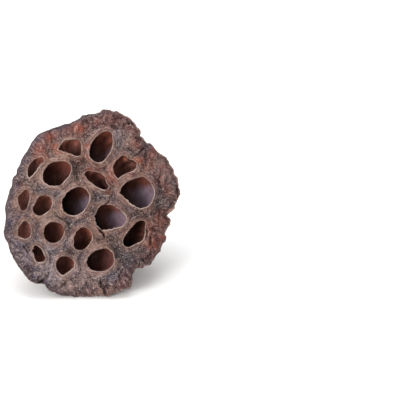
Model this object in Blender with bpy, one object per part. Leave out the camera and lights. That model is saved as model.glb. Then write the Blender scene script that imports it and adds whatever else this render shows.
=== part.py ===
"""A dried lotus pod lying on its side: a woody cone whose flat face holds eighteen open seed cells, with the cut stub of its stem at the tip.

The pod is one grown body, the receptacle, and the stub of the stalk is the second piece.
It is drawn face up in its own frame (x right and y up across the face, z out of the face, mm) and hung on an empty that lays it down,
so that it rests on the lower edge of its rim and on the edge of the stub.
"""

import math

import bmesh
import bpy
import numpy as np
from mathutils import Matrix, Vector, geometry

# ---- driving dimensions, mm and degrees ------------------------------------------------------------------------------
# The face is drawn on squares as it looks from a point in front of it, a little to the left and below the pod's axis.
SQUARE = 0.550  # one square of the drawing at the pod
GRID_CENTRE = (93.0, 203.0)  # the square on the pod's axis
GRID_MIDDLE = (200.0, 200.0)  # the square straight ahead of the eye
EYE_DISTANCE = 1200.0
EYE_TURN = 12.5  # the eye's line of sight, left of the pod's axis, seen from above
EYE_HEIGHT = 26.0  # above the ground
LEAN = 40.4  # the axis above the ground, as the pod lies
FACE_RADIUS = 50.0
FACE_DOME = 3.2  # how far the middle of the face stands above its border
FACE_WAVE = [(-165, 0.6), (-135, -0.9), (-117, -2.3), (-105, -2.1), (-92, 0.4), (-79, 3.0), (-65, 3.0), (-46, 0.8), (-25, -1.0), (0, -0.6), (20, 0.9), (45, -0.7), (75, 0.4), (105, 0.9), (135, -0.4), (165, 0.2)]  # the border's rise at angles round the face
RIM_DROP = 2.4  # how far the border rolls down at its edge
RIM_ROLL = 5.0  # width of that roll
RIM_Z = -3.9  # the widest line of the rim
NECK_Z = -46.5  # where the cone meets the stalk
NECK_R = 5.9
STUB_GAP = 0.3
STUB_LEN = 13.0
CELL_DEPTHS = [9.0, 14.5, 12.0, 6.0, 14.5, 10.0, 16.5, 5.5, 10.5, 15.0, 15.0, 5.5, 12.0, 12.0, 13.0, 8.5, 10.5, 14.0]  # cells 1 to 18
CELL_AIM = (-20.0, 8.0, -140.0)  # the cells lean towards this point
CELL_BELLY = 0.12  # how much wider a cell is below its mouth
LIP = 0.55  # raised lip round each mouth
RIBS = 27
SINK = 0.65  # how much of the lowest edge is worn flat where the pod lies

# ---- the face, drawn on its grid (x right, y down) ---------------------------------------------------------------------
RIM = [
    (104, 110), (113, 111.5), (118, 112.5), (124, 115), (129, 118), (134, 123), (138, 128), (141, 131.5), (140.6, 135.5),
    (143, 138), (147, 142), (151, 144), (155, 148), (159, 153), (163, 155), (166, 158.5), (169, 163), (172.5, 167.5),
    (174.6, 173), (177, 178), (179, 184), (180.5, 190), (181, 196), (179, 201), (177, 207), (174, 211), (169, 215.3),
    (171, 219), (171.5, 223), (168.5, 228), (166.3, 234), (166.5, 238.5), (165, 243), (161.5, 248), (158, 253), (155, 258),
    (152, 262), (148.5, 265.5), (142, 267), (136, 270), (133.8, 276), (132.8, 281), (131, 286), (126, 289), (121, 291),
    (114, 294.3), (108, 297.0), (98, 296.8), (88, 296.9), (80, 296.9), (73, 297.1), (66, 296.2), (60, 295.2), (54, 293.0),
    (49, 290), (45.5, 286), (40, 284), (34, 282.5), (29, 280), (25.5, 276), (21, 270.5), (17, 265), (13, 258.5), (9.8, 250),
    (8, 244), (5.6, 239), (4.6, 231), (5.4, 222), (6, 214), (6.6, 206), (7.5, 198), (9.2, 190), (11.6, 183), (14.5, 176.5),
    (17.5, 170), (20.5, 164), (24, 157), (28, 150), (31, 143.5), (35, 138.5), (40, 134.5), (45, 131.6), (51, 129.6),
    (58, 126.8), (66, 124), (73, 122.2), (78, 119.2), (82.5, 116), (88, 115), (95, 113),
]
CELLS = [
    [(59, 149), (62, 144), (65.5, 140.4), (70, 139.7), (75, 139), (79, 139.8), (81.4, 143), (81.6, 149), (81.2, 154.8), (77.5, 155.8), (72, 153.9), (64, 151)],
    [(108, 131.3), (102.5, 133.3), (97.5, 137.3), (93, 141.5), (90.8, 146), (89.8, 151), (90.4, 156.5), (94, 160.4), (99, 162), (104, 159.8), (109, 154.5), (112.2, 148), (113.1, 142), (112.5, 136), (110.8, 132.5)],
    [(123.5, 155.3), (119, 158), (115.8, 161.6), (113.6, 166), (114, 171), (116, 175.5), (119, 178.2), (122, 175.5), (128, 172.3), (134.5, 169.8), (137.5, 166), (136.7, 161.8), (133, 159.5), (128.6, 158.4), (126.4, 156)],
    [(42, 156.6), (37, 158), (33, 160.5), (30, 164), (28.3, 169), (28, 174), (29.7, 176.6), (32.5, 175), (36, 170.6), (40, 164.8), (44.4, 159)],
    [(60, 161.3), (54, 162), (50, 163.5), (46.5, 167), (44, 171), (42.8, 176), (43.8, 181), (47.5, 184.3), (52, 185.8), (57, 185.9), (61.5, 184), (65.5, 180), (69, 176.5), (70.9, 172), (71.3, 167.5), (69.2, 164), (65.5, 161.7)],
    [(84.6, 172.8), (87, 170.3), (91, 170), (96, 170.8), (100, 172.2), (103.5, 174.7), (105.2, 179), (106.9, 183), (108.2, 186.2), (106, 188.2), (102.8, 188.8), (99, 187), (94, 184), (90, 180.5), (86.4, 176.8)],
    [(120.8, 191.4), (123, 186.5), (126.5, 182.8), (131, 180.2), (137, 178), (144, 176.4), (147.5, 178.6), (151.3, 182.4), (153.9, 187), (155, 192), (154, 198), (151.3, 203.2), (147, 206.6), (142, 207.8), (136, 206), (131, 202.5), (126, 198), (122.2, 194.3)],
    [(27, 189), (22.4, 192), (18.2, 197.2), (18.6, 201.5), (20, 206), (22.2, 210.2), (25, 210.4), (27.6, 206), (29.6, 201), (30, 196), (29.2, 191)],
    [(45, 194.3), (41, 195.5), (38, 198), (35.6, 202), (33.2, 207.6), (34, 212), (37, 214.8), (41, 214.9), (46, 212), (50, 208.8), (52.2, 204), (51.6, 199), (49, 195.6)],
    [(78.8, 187), (74, 188.5), (69, 191.5), (66, 195.5), (63.7, 200.5), (62.6, 206), (64, 210), (67.5, 213.3), (72, 215.2), (77, 215), (82, 212.6), (86.5, 208), (89.4, 202), (90.3, 196), (87.8, 190.6), (83.8, 187.5)],
    [(104, 204.2), (100, 206.5), (97, 210), (95.5, 215), (96, 221), (98, 225.5), (102, 228.5), (108, 229.5), (113, 227.8), (118, 226.6), (123, 224), (125.8, 219.6), (125.4, 215), (122.2, 211.4), (118, 208), (114, 205.6), (109, 204.6)],
    [(25, 221), (21, 224.8), (18.6, 228.5), (18, 233), (18.8, 236.2), (22, 238.1), (26, 238.7), (29.8, 236.7), (31, 232), (30.4, 227), (28, 222.8)],
    [(52.5, 222), (48, 224), (45, 228), (44.3, 233), (45.5, 238), (48, 241.5), (52, 243), (57, 242), (61, 239.5), (63.6, 235.5), (64.3, 230), (62.5, 225), (58, 222.4)],
    [(84.2, 227), (80, 228.5), (77, 232), (74.6, 237), (73.8, 242), (75, 247), (77.8, 249.9), (82, 249.7), (86, 248), (89.2, 245), (92, 240.4), (93, 236), (91.2, 231.5), (88.2, 228.2)],
    [(141.5, 220.3), (137.5, 221.7), (133, 226), (129, 230.5), (126, 234.5), (123.6, 238.5), (123, 242), (125, 245.7), (129, 247), (133, 245), (137, 243), (140.6, 241.4), (143.5, 238.6), (145, 233), (145.2, 227), (145.3, 222.6), (144, 220.5)],
    [(35.4, 245), (33.6, 248), (32.8, 250.6), (34, 254), (35, 258), (36.8, 261.5), (40.5, 262), (44.4, 260.6), (45, 257.4), (43.4, 253.6), (41, 249.6), (38.4, 246.3)],
    [(64.5, 256), (60.4, 257), (57.5, 260), (56.1, 264.5), (57, 269.3), (60, 273), (63.6, 274.9), (67, 273), (70.6, 270.4), (74, 267.8), (74.8, 264), (73, 260), (69.4, 257)],
    [(104, 247.4), (100, 248.8), (95, 250.6), (91, 253.5), (88, 257), (86.8, 261.5), (88, 266.3), (92, 269.5), (98, 270.8), (104, 270.6), (109, 268.5), (112.5, 264.5), (114, 259.5), (113, 254.5), (110, 250.3), (107, 247.9)],
]

# profile of the cone: height below the face's border, mm, against the share of the rim's radius left
CONE = [(-8.2, 0.952), (-12.5, 0.872), (-18, 0.775), (-24, 0.665), (-30, 0.555), (-35.5, 0.45), (-39.8, 0.352), (-42.6, 0.268), (-44.6, 0.196)]

# ---- how finely the solid is cut ------------------------------------------------------------------------------------------
RIM_POINTS = 116
MOUTH_STEP = 2.35
FACE_STEP = 4.4
CELL_RINGS = [0.16, 0.40, 0.66, 0.86]  # share of the depth
SIDE_SPLIT = 1


def wave(angle):
    """The border's gentle rise and fall round the face: a smooth curve through FACE_WAVE."""
    a = np.radians([k for k, _ in FACE_WAVE])
    v = np.array([k for _, k in FACE_WAVE])
    a3, v3 = np.concatenate([a - 2 * math.pi, a, a + 2 * math.pi]), np.tile(v, 3)
    slope = np.gradient(v3, a3)
    t = (np.asarray(angle) + math.pi) % (2 * math.pi) - math.pi
    i = np.clip(np.searchsorted(a3, t) - 1, 0, len(a3) - 2)
    h = a3[i + 1] - a3[i]
    k = (t - a3[i]) / h
    return (2 * k**3 - 3 * k**2 + 1) * v3[i] + (k**3 - 2 * k**2 + k) * h * slope[i] + (3 * k**2 - 2 * k**3) * v3[i + 1] + (k**3 - k**2) * h * slope[i + 1]


def plain_face(q):
    """The face without its edge and lips: a low dome with a wavy border."""
    r = np.linalg.norm(q, axis=1) / FACE_RADIUS
    z = FACE_DOME * (1 - np.clip(r, 0, 1.15) ** 2)
    return z + wave(np.arctan2(q[:, 1], q[:, 0])) * np.clip(r, 0, 1.1) ** 3


def eye():
    """The eye and its axes (right, up, back) in the pod's own frame, x across the face, y up it, z out of it."""
    a, e, lean = math.radians(EYE_TURN), math.radians(EYE_HEIGHT), math.radians(LEAN)
    right = np.array([math.cos(a), -math.sin(a), 0])
    up = np.array([math.sin(a) * math.sin(e), math.cos(a) * math.sin(e), math.cos(e)])
    back = np.array([-math.sin(a) * math.cos(e), -math.cos(a) * math.cos(e), math.sin(e)])
    own = np.array([[1, 0, 0], [0, math.sin(lean), math.cos(lean)], [0, -math.cos(lean), math.sin(lean)]])
    right, up, back = own @ right, own @ up, own @ back
    x0, y0 = (GRID_CENTRE[0] - GRID_MIDDLE[0]) * SQUARE, (GRID_MIDDLE[1] - GRID_CENTRE[1]) * SQUARE
    return EYE_DISTANCE * back - x0 * right - y0 * up, right, up, back


def to_face(points, drop=0.0):
    """Squares of the drawing as x, y on the face in mm, or on a surface that lies drop below it."""
    p = np.array(points, float)
    place, right, up, back = eye()
    across, rise = (p[:, 0] - GRID_MIDDLE[0]) * SQUARE / EYE_DISTANCE, (GRID_MIDDLE[1] - p[:, 1]) * SQUARE / EYE_DISTANCE
    ray = across[:, None] * right + rise[:, None] * up - back
    q = np.zeros((len(p), 2))
    for _ in range(12):
        far = (plain_face(q) - drop - place[2]) / ray[:, 2]
        q = (place + far[:, None] * ray)[:, :2]
    return q


def closed_curve(points, n):
    """n points evenly spaced along the smooth closed curve through points, counterclockwise."""
    p = np.array(points, float)
    area = 0.5 * np.sum(p[:, 0] * np.roll(p[:, 1], -1) - np.roll(p[:, 0], -1) * p[:, 1])
    if area < 0:
        p = p[::-1]
    p0, p1, p2, p3 = np.roll(p, 1, 0), p, np.roll(p, -1, 0), np.roll(p, -2, 0)

    def knot(a, b):
        return np.sqrt(np.linalg.norm(b - a, axis=1))[:, None]

    t01, t12, t23 = knot(p0, p1), knot(p1, p2), knot(p2, p3)
    m1 = t12 * ((p1 - p0) / t01 - (p2 - p0) / (t01 + t12) + (p2 - p1) / t12)
    m2 = t12 * ((p2 - p1) / t12 - (p3 - p1) / (t12 + t23) + (p3 - p2) / t23)
    fine = []
    for t in np.linspace(0, 1, 24, endpoint=False):
        h00, h10, h01, h11 = 2 * t**3 - 3 * t**2 + 1, t**3 - 2 * t**2 + t, -2 * t**3 + 3 * t**2, t**3 - t**2
        fine.append(h00 * p1 + h10 * m1 + h01 * p2 + h11 * m2)
    fine = np.stack(fine, 1).reshape(-1, 2)
    ring = np.vstack([fine, fine[:1]])
    run = np.concatenate([[0], np.cumsum(np.linalg.norm(np.diff(ring, axis=0), axis=1))])
    at = np.linspace(0, run[-1], n, endpoint=False)
    return np.stack([np.interp(at, run, ring[:, 0]), np.interp(at, run, ring[:, 1])], 1)


def length_of(loop):
    return float(np.linalg.norm(loop - np.roll(loop, -1, 0), axis=1).sum())


def distance_to(loop, q):
    """Distance of each point of q from the closed polyline loop."""
    a, b = loop, np.roll(loop, -1, 0)
    d = b - a
    t = np.clip(((q[:, None] - a) * d).sum(2) / np.maximum((d * d).sum(1), 1e-12), 0, 1)
    return np.linalg.norm(q[:, None] - (a + t[..., None] * d), axis=2).min(1)


def inside(loop, q):
    a, b = loop, np.roll(loop, -1, 0)
    x, y = q[:, 0][:, None], q[:, 1][:, None]
    cross = (a[:, 1] > y) != (b[:, 1] > y)
    with np.errstate(divide="ignore", invalid="ignore"):
        at = a[:, 0] + (y - a[:, 1]) * (b[:, 0] - a[:, 0]) / (b[:, 1] - a[:, 1])
    return (cross & (x < at)).sum(1) % 2 == 1


def smooth(t):
    t = np.clip(t, 0, 1)
    return t * t * (3 - 2 * t)


class Pod:
    """The pod's surfaces, as functions of place."""

    def __init__(self):
        self.rim = closed_curve(to_face(RIM, -RIM_Z), 720)
        self.mouths = [closed_curve(to_face(c), 96) for c in CELLS]
        angle = np.arctan2(self.rim[:, 1], self.rim[:, 0])
        order = np.argsort(angle)
        self.rim_angle, self.rim_radius = angle[order], np.linalg.norm(self.rim, axis=1)[order]
        self.mean_radius = float(self.rim_radius.mean())

    def face_z(self, q):
        """Height of the face at points q: a low dome, gently uneven, rolled down at the border, with a lip at each mouth."""
        z = plain_face(q) + 0.35 * np.sin(q[:, 0] * 0.11 + 0.6) * np.cos(q[:, 1] * 0.13 - 0.4) + 0.25 * np.sin(q[:, 0] * 0.23 - q[:, 1] * 0.19 + 1.3)
        edge = distance_to(self.rim, q)
        z = z - RIM_DROP * np.clip(1 - edge / RIM_ROLL, 0, 1) ** 2
        near = np.min([distance_to(m, q) for m in self.mouths], axis=0)
        return z + LIP * np.exp(-((near / 1.1) ** 2))

    def rim_r(self, angle):
        return np.interp((angle + math.pi) % (2 * math.pi) - math.pi, self.rim_angle, self.rim_radius, period=2 * math.pi)

    def rib(self, angle):
        """Ribs and folds that run from the stalk to the rim, about -1 to 1."""
        bend = angle + 0.09 * np.sin(3 * angle + 0.7) + 0.05 * np.sin(7 * angle + 2.1)
        strong = 0.62 + 0.38 * np.sin(5 * angle + 0.4)
        return strong * np.cos(RIBS * bend) + 0.35 * np.cos(11 * bend + 1.1)


def add(rows, points):
    """Appends points to the vertex list and returns their indices."""
    first = sum(len(r) for r in rows)
    rows.append(np.asarray(points, float))
    return np.arange(first, first + len(points))


def band(faces, a, b):
    """Quads between two rings of as many points; the surface faces out when b lies below a on a counterclockwise outer ring."""
    n = len(a)
    for i in range(n):
        j = (i + 1) % n
        faces.append((a[i], b[i], b[j], a[j]))


def cap(faces, ring, tip, flip=False):
    n = len(ring)
    for i in range(n):
        j = (i + 1) % n
        faces.append((ring[j], ring[i], tip) if flip else (ring[i], ring[j], tip))


def receptacle(pod):
    rows, faces = [], []
    # the face: border, mouths and a triangular grid between them
    rim = closed_curve(to_face(RIM, -RIM_Z), RIM_POINTS)
    edge = rim * (1 - 0.8 / np.linalg.norm(rim, axis=1))[:, None]
    mouths = [closed_curve(to_face(c), max(11, round(length_of(m) / MOUTH_STEP))) for c, m in zip(CELLS, pod.mouths)]
    loops = [edge, *mouths]
    step = FACE_STEP
    grid = [(x + (0.5 * step if row % 2 else 0), y) for row, y in enumerate(np.arange(-60, 60, step * 0.866)) for x in np.arange(-60, 60, step)]
    grid = np.array(grid)
    keep = inside(edge, grid) & (distance_to(edge, grid) > 0.5 * step)
    for m in mouths:
        keep &= ~inside(m, grid) & (distance_to(m, grid) > 0.42 * step)
    flat = np.vstack([*loops, grid[keep]])
    ties, first = [], 0
    for loop in loops:
        n = len(loop)
        ties += [(first + i, first + (i + 1) % n) for i in range(n)]
        first += n
    _, _, triangles, origin, _, _ = geometry.delaunay_2d_cdt([Vector(p) for p in flat], ties, [], 1, 1e-6)
    back = [o[0] for o in origin]
    triangles = np.array([[back[v] for v in t] for t in triangles])
    middle = flat[triangles].mean(1)
    hole = np.any([inside(m, middle) for m in mouths], axis=0)
    triangles = triangles[~hole]
    a, b, c = (flat[triangles[:, k]] for k in range(3))
    turn = (b[:, 0] - a[:, 0]) * (c[:, 1] - a[:, 1]) - (b[:, 1] - a[:, 1]) * (c[:, 0] - a[:, 0])
    triangles[turn < 0] = triangles[turn < 0][:, ::-1]
    add(rows, np.column_stack([flat, pod.face_z(flat)]))
    faces += [tuple(t) for t in triangles]
    # the cells: smooth cups that lean towards the stalk
    first = len(edge)
    for mouth, depth in zip(mouths, CELL_DEPTHS):
        n = len(mouth)
        ring = np.arange(first, first + n)
        first += n
        top = rows[0][ring]
        centre = top.mean(0)
        lean = (np.array(CELL_AIM) - centre) / np.linalg.norm(np.array(CELL_AIM) - centre)
        offset = top[:, :2] - centre[:2]
        round_r = np.linalg.norm(offset, axis=1).mean()
        angle = np.arctan2(offset[:, 1], offset[:, 0])
        circle = np.stack([np.cos(angle), np.sin(angle)], 1) * round_r
        for share in CELL_RINGS:
            blend = smooth(share / 0.8) * 0.5
            width = math.sqrt(1 - (max(share - 0.12, 0) / 0.92) ** 2.6) * (1 + CELL_BELLY * smooth(share / 0.3))
            xy = centre[:2] + lean[:2] * depth * share + ((1 - blend) * offset + blend * circle) * width
            z = top[:, 2] * (1 - share) + (centre[2] + lean[2] * depth) * share
            down = add(rows, np.column_stack([xy, z]))
            band(faces, down, ring)
            ring = down
        tip = add(rows, [centre + lean * depth])[0]
        cap(faces, ring, tip)
    # the side: rim, then the ribbed cone down to the neck
    ring = np.arange(len(edge))
    angle = np.arctan2(rim[:, 1], rim[:, 0])
    ribs = pod.rib(angle)
    across = pod.rim_r(angle)
    border = wave(angle)
    for z, share, swing in [(RIM_Z, 1.0, 0.0), (RIM_Z - 2.2, 0.988, 0.25)] + [(z, k, min(1.0, (RIM_Z - z) / 9)) for z, k in CONE]:
        fade = 0.55 + 0.45 * smooth((z - NECK_Z) / 14)
        circle = smooth((RIM_Z - z) / (RIM_Z - NECK_Z)) ** 1.3
        r = share * ((1 - circle) * across + circle * pod.mean_radius) + 0.95 * swing * fade * ribs * min(1.0, share * 1.6)
        down = add(rows, np.column_stack([r * np.cos(angle), r * np.sin(angle), z + border * (1 - circle) ** 2]))
        band(faces, ring, down)
        ring = down
    # the neck narrows in half as many points
    for z, r, keep_every in [(NECK_Z + 0.9, NECK_R + 1.3, 2), (NECK_Z, NECK_R, 1)]:
        if keep_every == 2:
            turn = np.arctan2(*rows[-1][::2, 1::-1].T)
            down = add(rows, np.column_stack([r * np.cos(turn), r * np.sin(turn), np.full(len(turn), z)]))
            n = len(ring)
            for i in range(len(down)):
                j, a, b, c = (i + 1) % len(down), 2 * i, (2 * i + 1) % n, (2 * i + 2) % n
                faces += [(ring[a], down[i], ring[b]), (ring[b], down[i], down[j]), (ring[b], down[j], ring[c])]
        else:
            down = add(rows, np.column_stack([r * np.cos(turn), r * np.sin(turn), np.full(len(turn), z)]))
            band(faces, ring, down)
        ring = down
    tip = add(rows, [(0, 0, NECK_Z)])[0]
    cap(faces, ring, tip, flip=True)
    return np.vstack(rows), faces


def stem_stub():
    """The cut stalk: a knotty cylinder, waisted in the middle, with an uneven cut end and three air canals in it."""
    rows, faces = [], []
    n = 40
    turn = np.linspace(0, 2 * math.pi, n, endpoint=False)
    uneven = 1 + 0.05 * np.cos(2 * turn + 0.5) + 0.045 * np.cos(3 * turn + 2.0) + 0.03 * np.cos(5 * turn)
    top = NECK_Z - STUB_GAP
    first = add(rows, np.column_stack([0.86 * NECK_R * np.cos(turn), 0.86 * NECK_R * np.sin(turn), np.full(n, top)]))
    cap(faces, first, add(rows, [(0, 0, top)])[0])
    ring = first
    for share, r in [(0.07, 6.15), (0.22, 6.0), (0.45, 5.45), (0.70, 5.6), (0.90, 6.1), (0.985, 5.9)]:
        lift = 0.55 * share * np.cos(turn - 0.8)
        lean = 0.6 * share
        down = add(rows, np.column_stack([lean + r * uneven * np.cos(turn), r * uneven * np.sin(turn), top - STUB_LEN * share + lift]))
        band(faces, ring, down)
        ring = down
    # the cut end, with three air canals
    end = rows[-1]
    canals = [(2.1, 1.5, 1.05), (-1.9, 1.7, 0.95), (0.4, -2.3, 1.15)]
    canal_n = 9
    loops = [end[:, :2] * 0.93 + 0.07 * end[:, :2].mean(0)]
    around = np.linspace(0, 2 * math.pi, canal_n, endpoint=False)
    loops += [np.column_stack([0.6 + x + r * np.cos(around), y + r * np.sin(around)]) for x, y, r in canals]
    flat = np.vstack(loops)
    ties, at = [], 0
    for loop in loops:
        ties += [(at + i, at + (i + 1) % len(loop)) for i in range(len(loop))]
        at += len(loop)
    _, _, triangles, origin, _, _ = geometry.delaunay_2d_cdt([Vector(p) for p in flat], ties, [], 1, 1e-6)
    back = [o[0] for o in origin]
    triangles = np.array([[back[v] for v in t] for t in triangles])
    middle = flat[triangles].mean(1)
    triangles = triangles[~np.any([inside(loop, middle) for loop in loops[1:]], axis=0)]
    a, b, c = (flat[triangles[:, k]] for k in range(3))
    wound = (b[:, 0] - a[:, 0]) * (c[:, 1] - a[:, 1]) - (b[:, 1] - a[:, 1]) * (c[:, 0] - a[:, 0])
    triangles[wound > 0] = triangles[wound > 0][:, ::-1]
    z = top - STUB_LEN * 1.01 + 0.55 * np.cos(np.arctan2(flat[:, 1], flat[:, 0]) - 0.8) * np.linalg.norm(flat, axis=1) / 6
    index = add(rows, np.column_stack([flat, z]))
    band(faces, ring, index[:n])
    faces += [tuple(index[v] for v in t) for t in triangles]
    at = n
    for _ in canals:
        mouth = index[at : at + canal_n]
        at += canal_n
        points = np.vstack(rows)[mouth]
        middle = points.mean(0)
        deep = add(rows, (points - middle) * 0.8 + middle + np.array([0, 0, 2.6]))
        band(faces, mouth, deep)
        cap(faces, deep, add(rows, [middle + np.array([0, 0, 3.0])])[0], flip=True)
    return np.vstack(rows), faces


def laid_down(points, lean):
    """The points turned about x so that the face looks forward (-y) and up by lean."""
    turn = math.pi / 2 - lean
    c, s = math.cos(turn), math.sin(turn)
    return np.column_stack([points[:, 0], c * points[:, 1] - s * points[:, 2], s * points[:, 1] + c * points[:, 2]])


def material(name, colour, roughness):
    m = bpy.data.materials.new(name)
    m.use_nodes = True
    shader = m.node_tree.nodes["Principled BSDF"]
    shader.inputs["Base Color"].default_value = (*colour, 1)
    shader.inputs["Roughness"].default_value = roughness
    shader.inputs["Metallic"].default_value = 0
    return m


def piece(name, points, faces, frame, finish):
    """points are laid down and in metres; they are kept in the frame's own axes, so that the frame's turn lays the piece down."""
    mesh = bpy.data.meshes.new(name)
    local = frame.matrix_world.inverted()
    mesh.from_pydata([local @ Vector(p) for p in points], [], [tuple(int(v) for v in f) for f in faces])
    mesh.validate()
    mesh.shade_smooth()
    mesh.materials.append(finish)
    obj = bpy.data.objects.new(name, mesh)
    bpy.context.scene.collection.objects.link(obj)
    obj.parent = frame
    return obj


def main():
    for obj in list(bpy.data.objects):
        bpy.data.objects.remove(obj)
    pod = Pod()
    body, body_faces = receptacle(pod)
    stub, stub_faces = stem_stub()
    # the lean at which the rim and the stub touch the ground together
    low, high = math.radians(20), math.radians(60)
    for _ in range(50):
        lean = (low + high) / 2
        if laid_down(body, lean)[:, 2].min() < laid_down(stub, lean)[:, 2].min():
            low = lean
        else:
            high = lean
    body, stub = laid_down(body, lean), laid_down(stub, lean)
    both = np.vstack([body, stub])
    shift = np.array([-(both[:, 0].min() + both[:, 0].max()) / 2, -(both[:, 1].min() + both[:, 1].max()) / 2, -both[:, 2].min() - SINK])
    body, stub = body + shift, stub + shift
    body[:, 2], stub[:, 2] = np.maximum(body[:, 2], 0), np.maximum(stub[:, 2], 0)
    print("lean", round(math.degrees(lean), 3), "shift", np.round(shift, 3).tolist())

    frame = bpy.data.objects.new("pod_axis", None)
    bpy.context.scene.collection.objects.link(frame)
    frame.location = Vector(shift) / 1000
    frame.rotation_euler = (math.pi / 2 - lean, 0, 0)
    bpy.context.view_layer.update()
    tissue = material("dried_tissue", (0.20, 0.125, 0.105), 0.85)
    cork = material("stalk_cork", (0.55, 0.36, 0.21), 0.9)
    for name, points, faces, finish in [("receptacle", body, body_faces, tissue), ("stem_stub", stub, stub_faces, cork)]:
        piece(name, points / 1000, faces, frame, finish)


main()
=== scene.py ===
"""The looks of a dried lotus pod that lies on its side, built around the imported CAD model.

The receptacle and the stub of the stalk are each one closed mesh that stands for its CAD node.
Lengths are in mm in the pod's own frame (x right and y up across the face, z out of the face), and in metres once a piece is laid down.
"""

import math

import bpy
import numpy as np
from mathutils import Matrix, Vector, geometry


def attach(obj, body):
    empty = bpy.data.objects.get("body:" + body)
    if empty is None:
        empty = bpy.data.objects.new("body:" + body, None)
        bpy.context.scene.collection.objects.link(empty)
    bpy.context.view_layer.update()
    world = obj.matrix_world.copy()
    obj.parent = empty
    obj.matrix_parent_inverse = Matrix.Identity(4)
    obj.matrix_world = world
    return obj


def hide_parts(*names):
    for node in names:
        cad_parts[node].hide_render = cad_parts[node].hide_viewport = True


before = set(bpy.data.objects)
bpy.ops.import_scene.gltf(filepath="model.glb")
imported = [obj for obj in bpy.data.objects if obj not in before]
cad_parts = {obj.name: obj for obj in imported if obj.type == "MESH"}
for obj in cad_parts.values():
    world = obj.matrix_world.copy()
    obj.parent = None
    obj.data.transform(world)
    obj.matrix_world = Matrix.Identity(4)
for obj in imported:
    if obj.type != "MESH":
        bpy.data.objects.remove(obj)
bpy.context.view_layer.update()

# ---- the CAD model's own dimensions -----------------------------------------------------------------------------------
SQUARE = 0.550
GRID_CENTRE = (93.0, 203.0)
GRID_MIDDLE = (200.0, 200.0)
EYE_DISTANCE = 1200.0
EYE_TURN = 12.5
EYE_HEIGHT = 26.0
LEAN = 40.4
TRUE_LEAN = 40.468  # where the rim and the stub both touch the ground
SHIFT = np.array([-0.239, -7.669, 42.497])
FACE_RADIUS = 50.0
FACE_DOME = 3.2
FACE_WAVE = [(-165, 0.6), (-135, -0.9), (-117, -2.3), (-105, -2.1), (-92, 0.4), (-79, 3.0), (-65, 3.0), (-46, 0.8), (-25, -1.0), (0, -0.6), (20, 0.9), (45, -0.7), (75, 0.4), (105, 0.9), (135, -0.4), (165, 0.2)]
RIM_DROP = 2.4
RIM_ROLL = 5.0
RIM_Z = -3.9
NECK_Z = -46.5
NECK_R = 5.9
STUB_GAP = 0.3
STUB_LEN = 13.0
CELL_DEPTHS = [9.0, 14.5, 12.0, 6.0, 14.5, 10.0, 16.5, 5.5, 10.5, 15.0, 15.0, 5.5, 12.0, 12.0, 13.0, 8.5, 10.5, 14.0]
CELL_AIM = np.array([-20.0, 8.0, -140.0])
CELL_BELLY = 0.12
RIBS = 27
CONE = [(-3.9, 1.0), (-6.1, 0.988), (-8.2, 0.952), (-12.5, 0.872), (-18, 0.775), (-24, 0.665), (-30, 0.555), (-35.5, 0.45), (-39.8, 0.352), (-42.6, 0.268), (-44.6, 0.196), (-45.6, 0.149), (-46.5, 0.121)]

# ---- the face, drawn on the same squares as the CAD model's, with the rim's finer scallops -----------------------------
RIM = [
    (105.6, 109.7), (109.6, 110.2), (113.1, 111.7), (117.1, 111.7), (119.6, 112.7), (124.6, 115.7), (129.6, 118.2), (132.6, 121.2), (134.6, 123.7), (136.6, 126.2), (139.1, 129.2), (140.6, 131.2), (141.1, 134.2),
    (139.4, 135.5), (141.6, 136.9), (144.1, 139.2), (145.9, 141.7), (147.4, 143.1), (149.6, 142.7), (152.1, 144.7), (154.1, 147.2), (157.1, 151), (159.1, 153.5), (162.1, 154.4), (165.9, 157.2),
    (168.4, 161), (169, 162.7), (172.1, 166.7), (174, 169.7), (174.3, 174.1), (176.6, 177.2), (178.4, 182.2), (179, 186), (180.1, 189.7), (180.6, 193.7), (178.1, 199.7), (175.9, 203.7),
    (174.9, 208.4), (171.6, 211.7), (167.6, 215.4), (170.6, 219.7), (170.3, 223.7), (166.9, 229), (164.9, 233.7), (166.3, 237), (165.6, 241), (163.6, 244.4), (160.9, 247.7), (158.9, 252.4), (156.3, 257),
    (153.6, 259.7), (149.6, 264.7), (144.9, 266.4), (141.6, 268.2), (137.6, 268), (134.9, 270.4), (132.9, 275), (132.6, 278.4), (131.6, 285.7), (129.6, 288.2), (124.3, 289.7), (119.6, 291.4), (116.9, 293),
    (113.6, 293), (110.9, 294.7), (107.6, 296.5), (102.9, 295.7), (96.3, 296), (90.3, 296.7), (84.9, 297.2), (79.6, 296.4), (74.9, 297.4), (71.3, 296), (66.3, 296), (59.6, 295.4), (54.3, 293),
    (49.6, 291.4), (46.3, 288.4), (44.3, 285), (39.6, 284), (34.3, 283.4), (29.6, 280.7), (24.6, 275), (19.6, 269), (16.3, 263.7), (13.6, 258.4), (10.3, 253), (8.9, 247.7), (7.6, 243.7), (5.3, 239.7),
    (3.7, 234.7), (3.9, 229.7), (4.8, 224.7), (5.6, 219.7), (5.3, 214.7), (4.9, 209.7), (5.3, 204.7), (6.9, 199.7), (9, 192.2), (9.6, 189.1), (11.5, 186.6), (12.1, 182.2), (13, 177.5), (16.2, 174.1),
    (16.8, 169.7), (19.6, 164.7), (21.5, 159.1), (22.7, 156.6), (24.6, 154.1), (27.7, 149.7), (30.9, 143.5), (34.6, 138.5), (39.6, 133.7), (44.6, 131.3), (49.6, 129.7), (54.6, 127.5), (59.6, 126), (65.2, 124),
    (69.6, 123.5), (74.6, 120.6), (79.6, 117.5), (82.6, 115.5), (89.6, 114.5), (94.6, 113.7), (99.6, 111.9), (102.1, 110.3),
]
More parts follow.
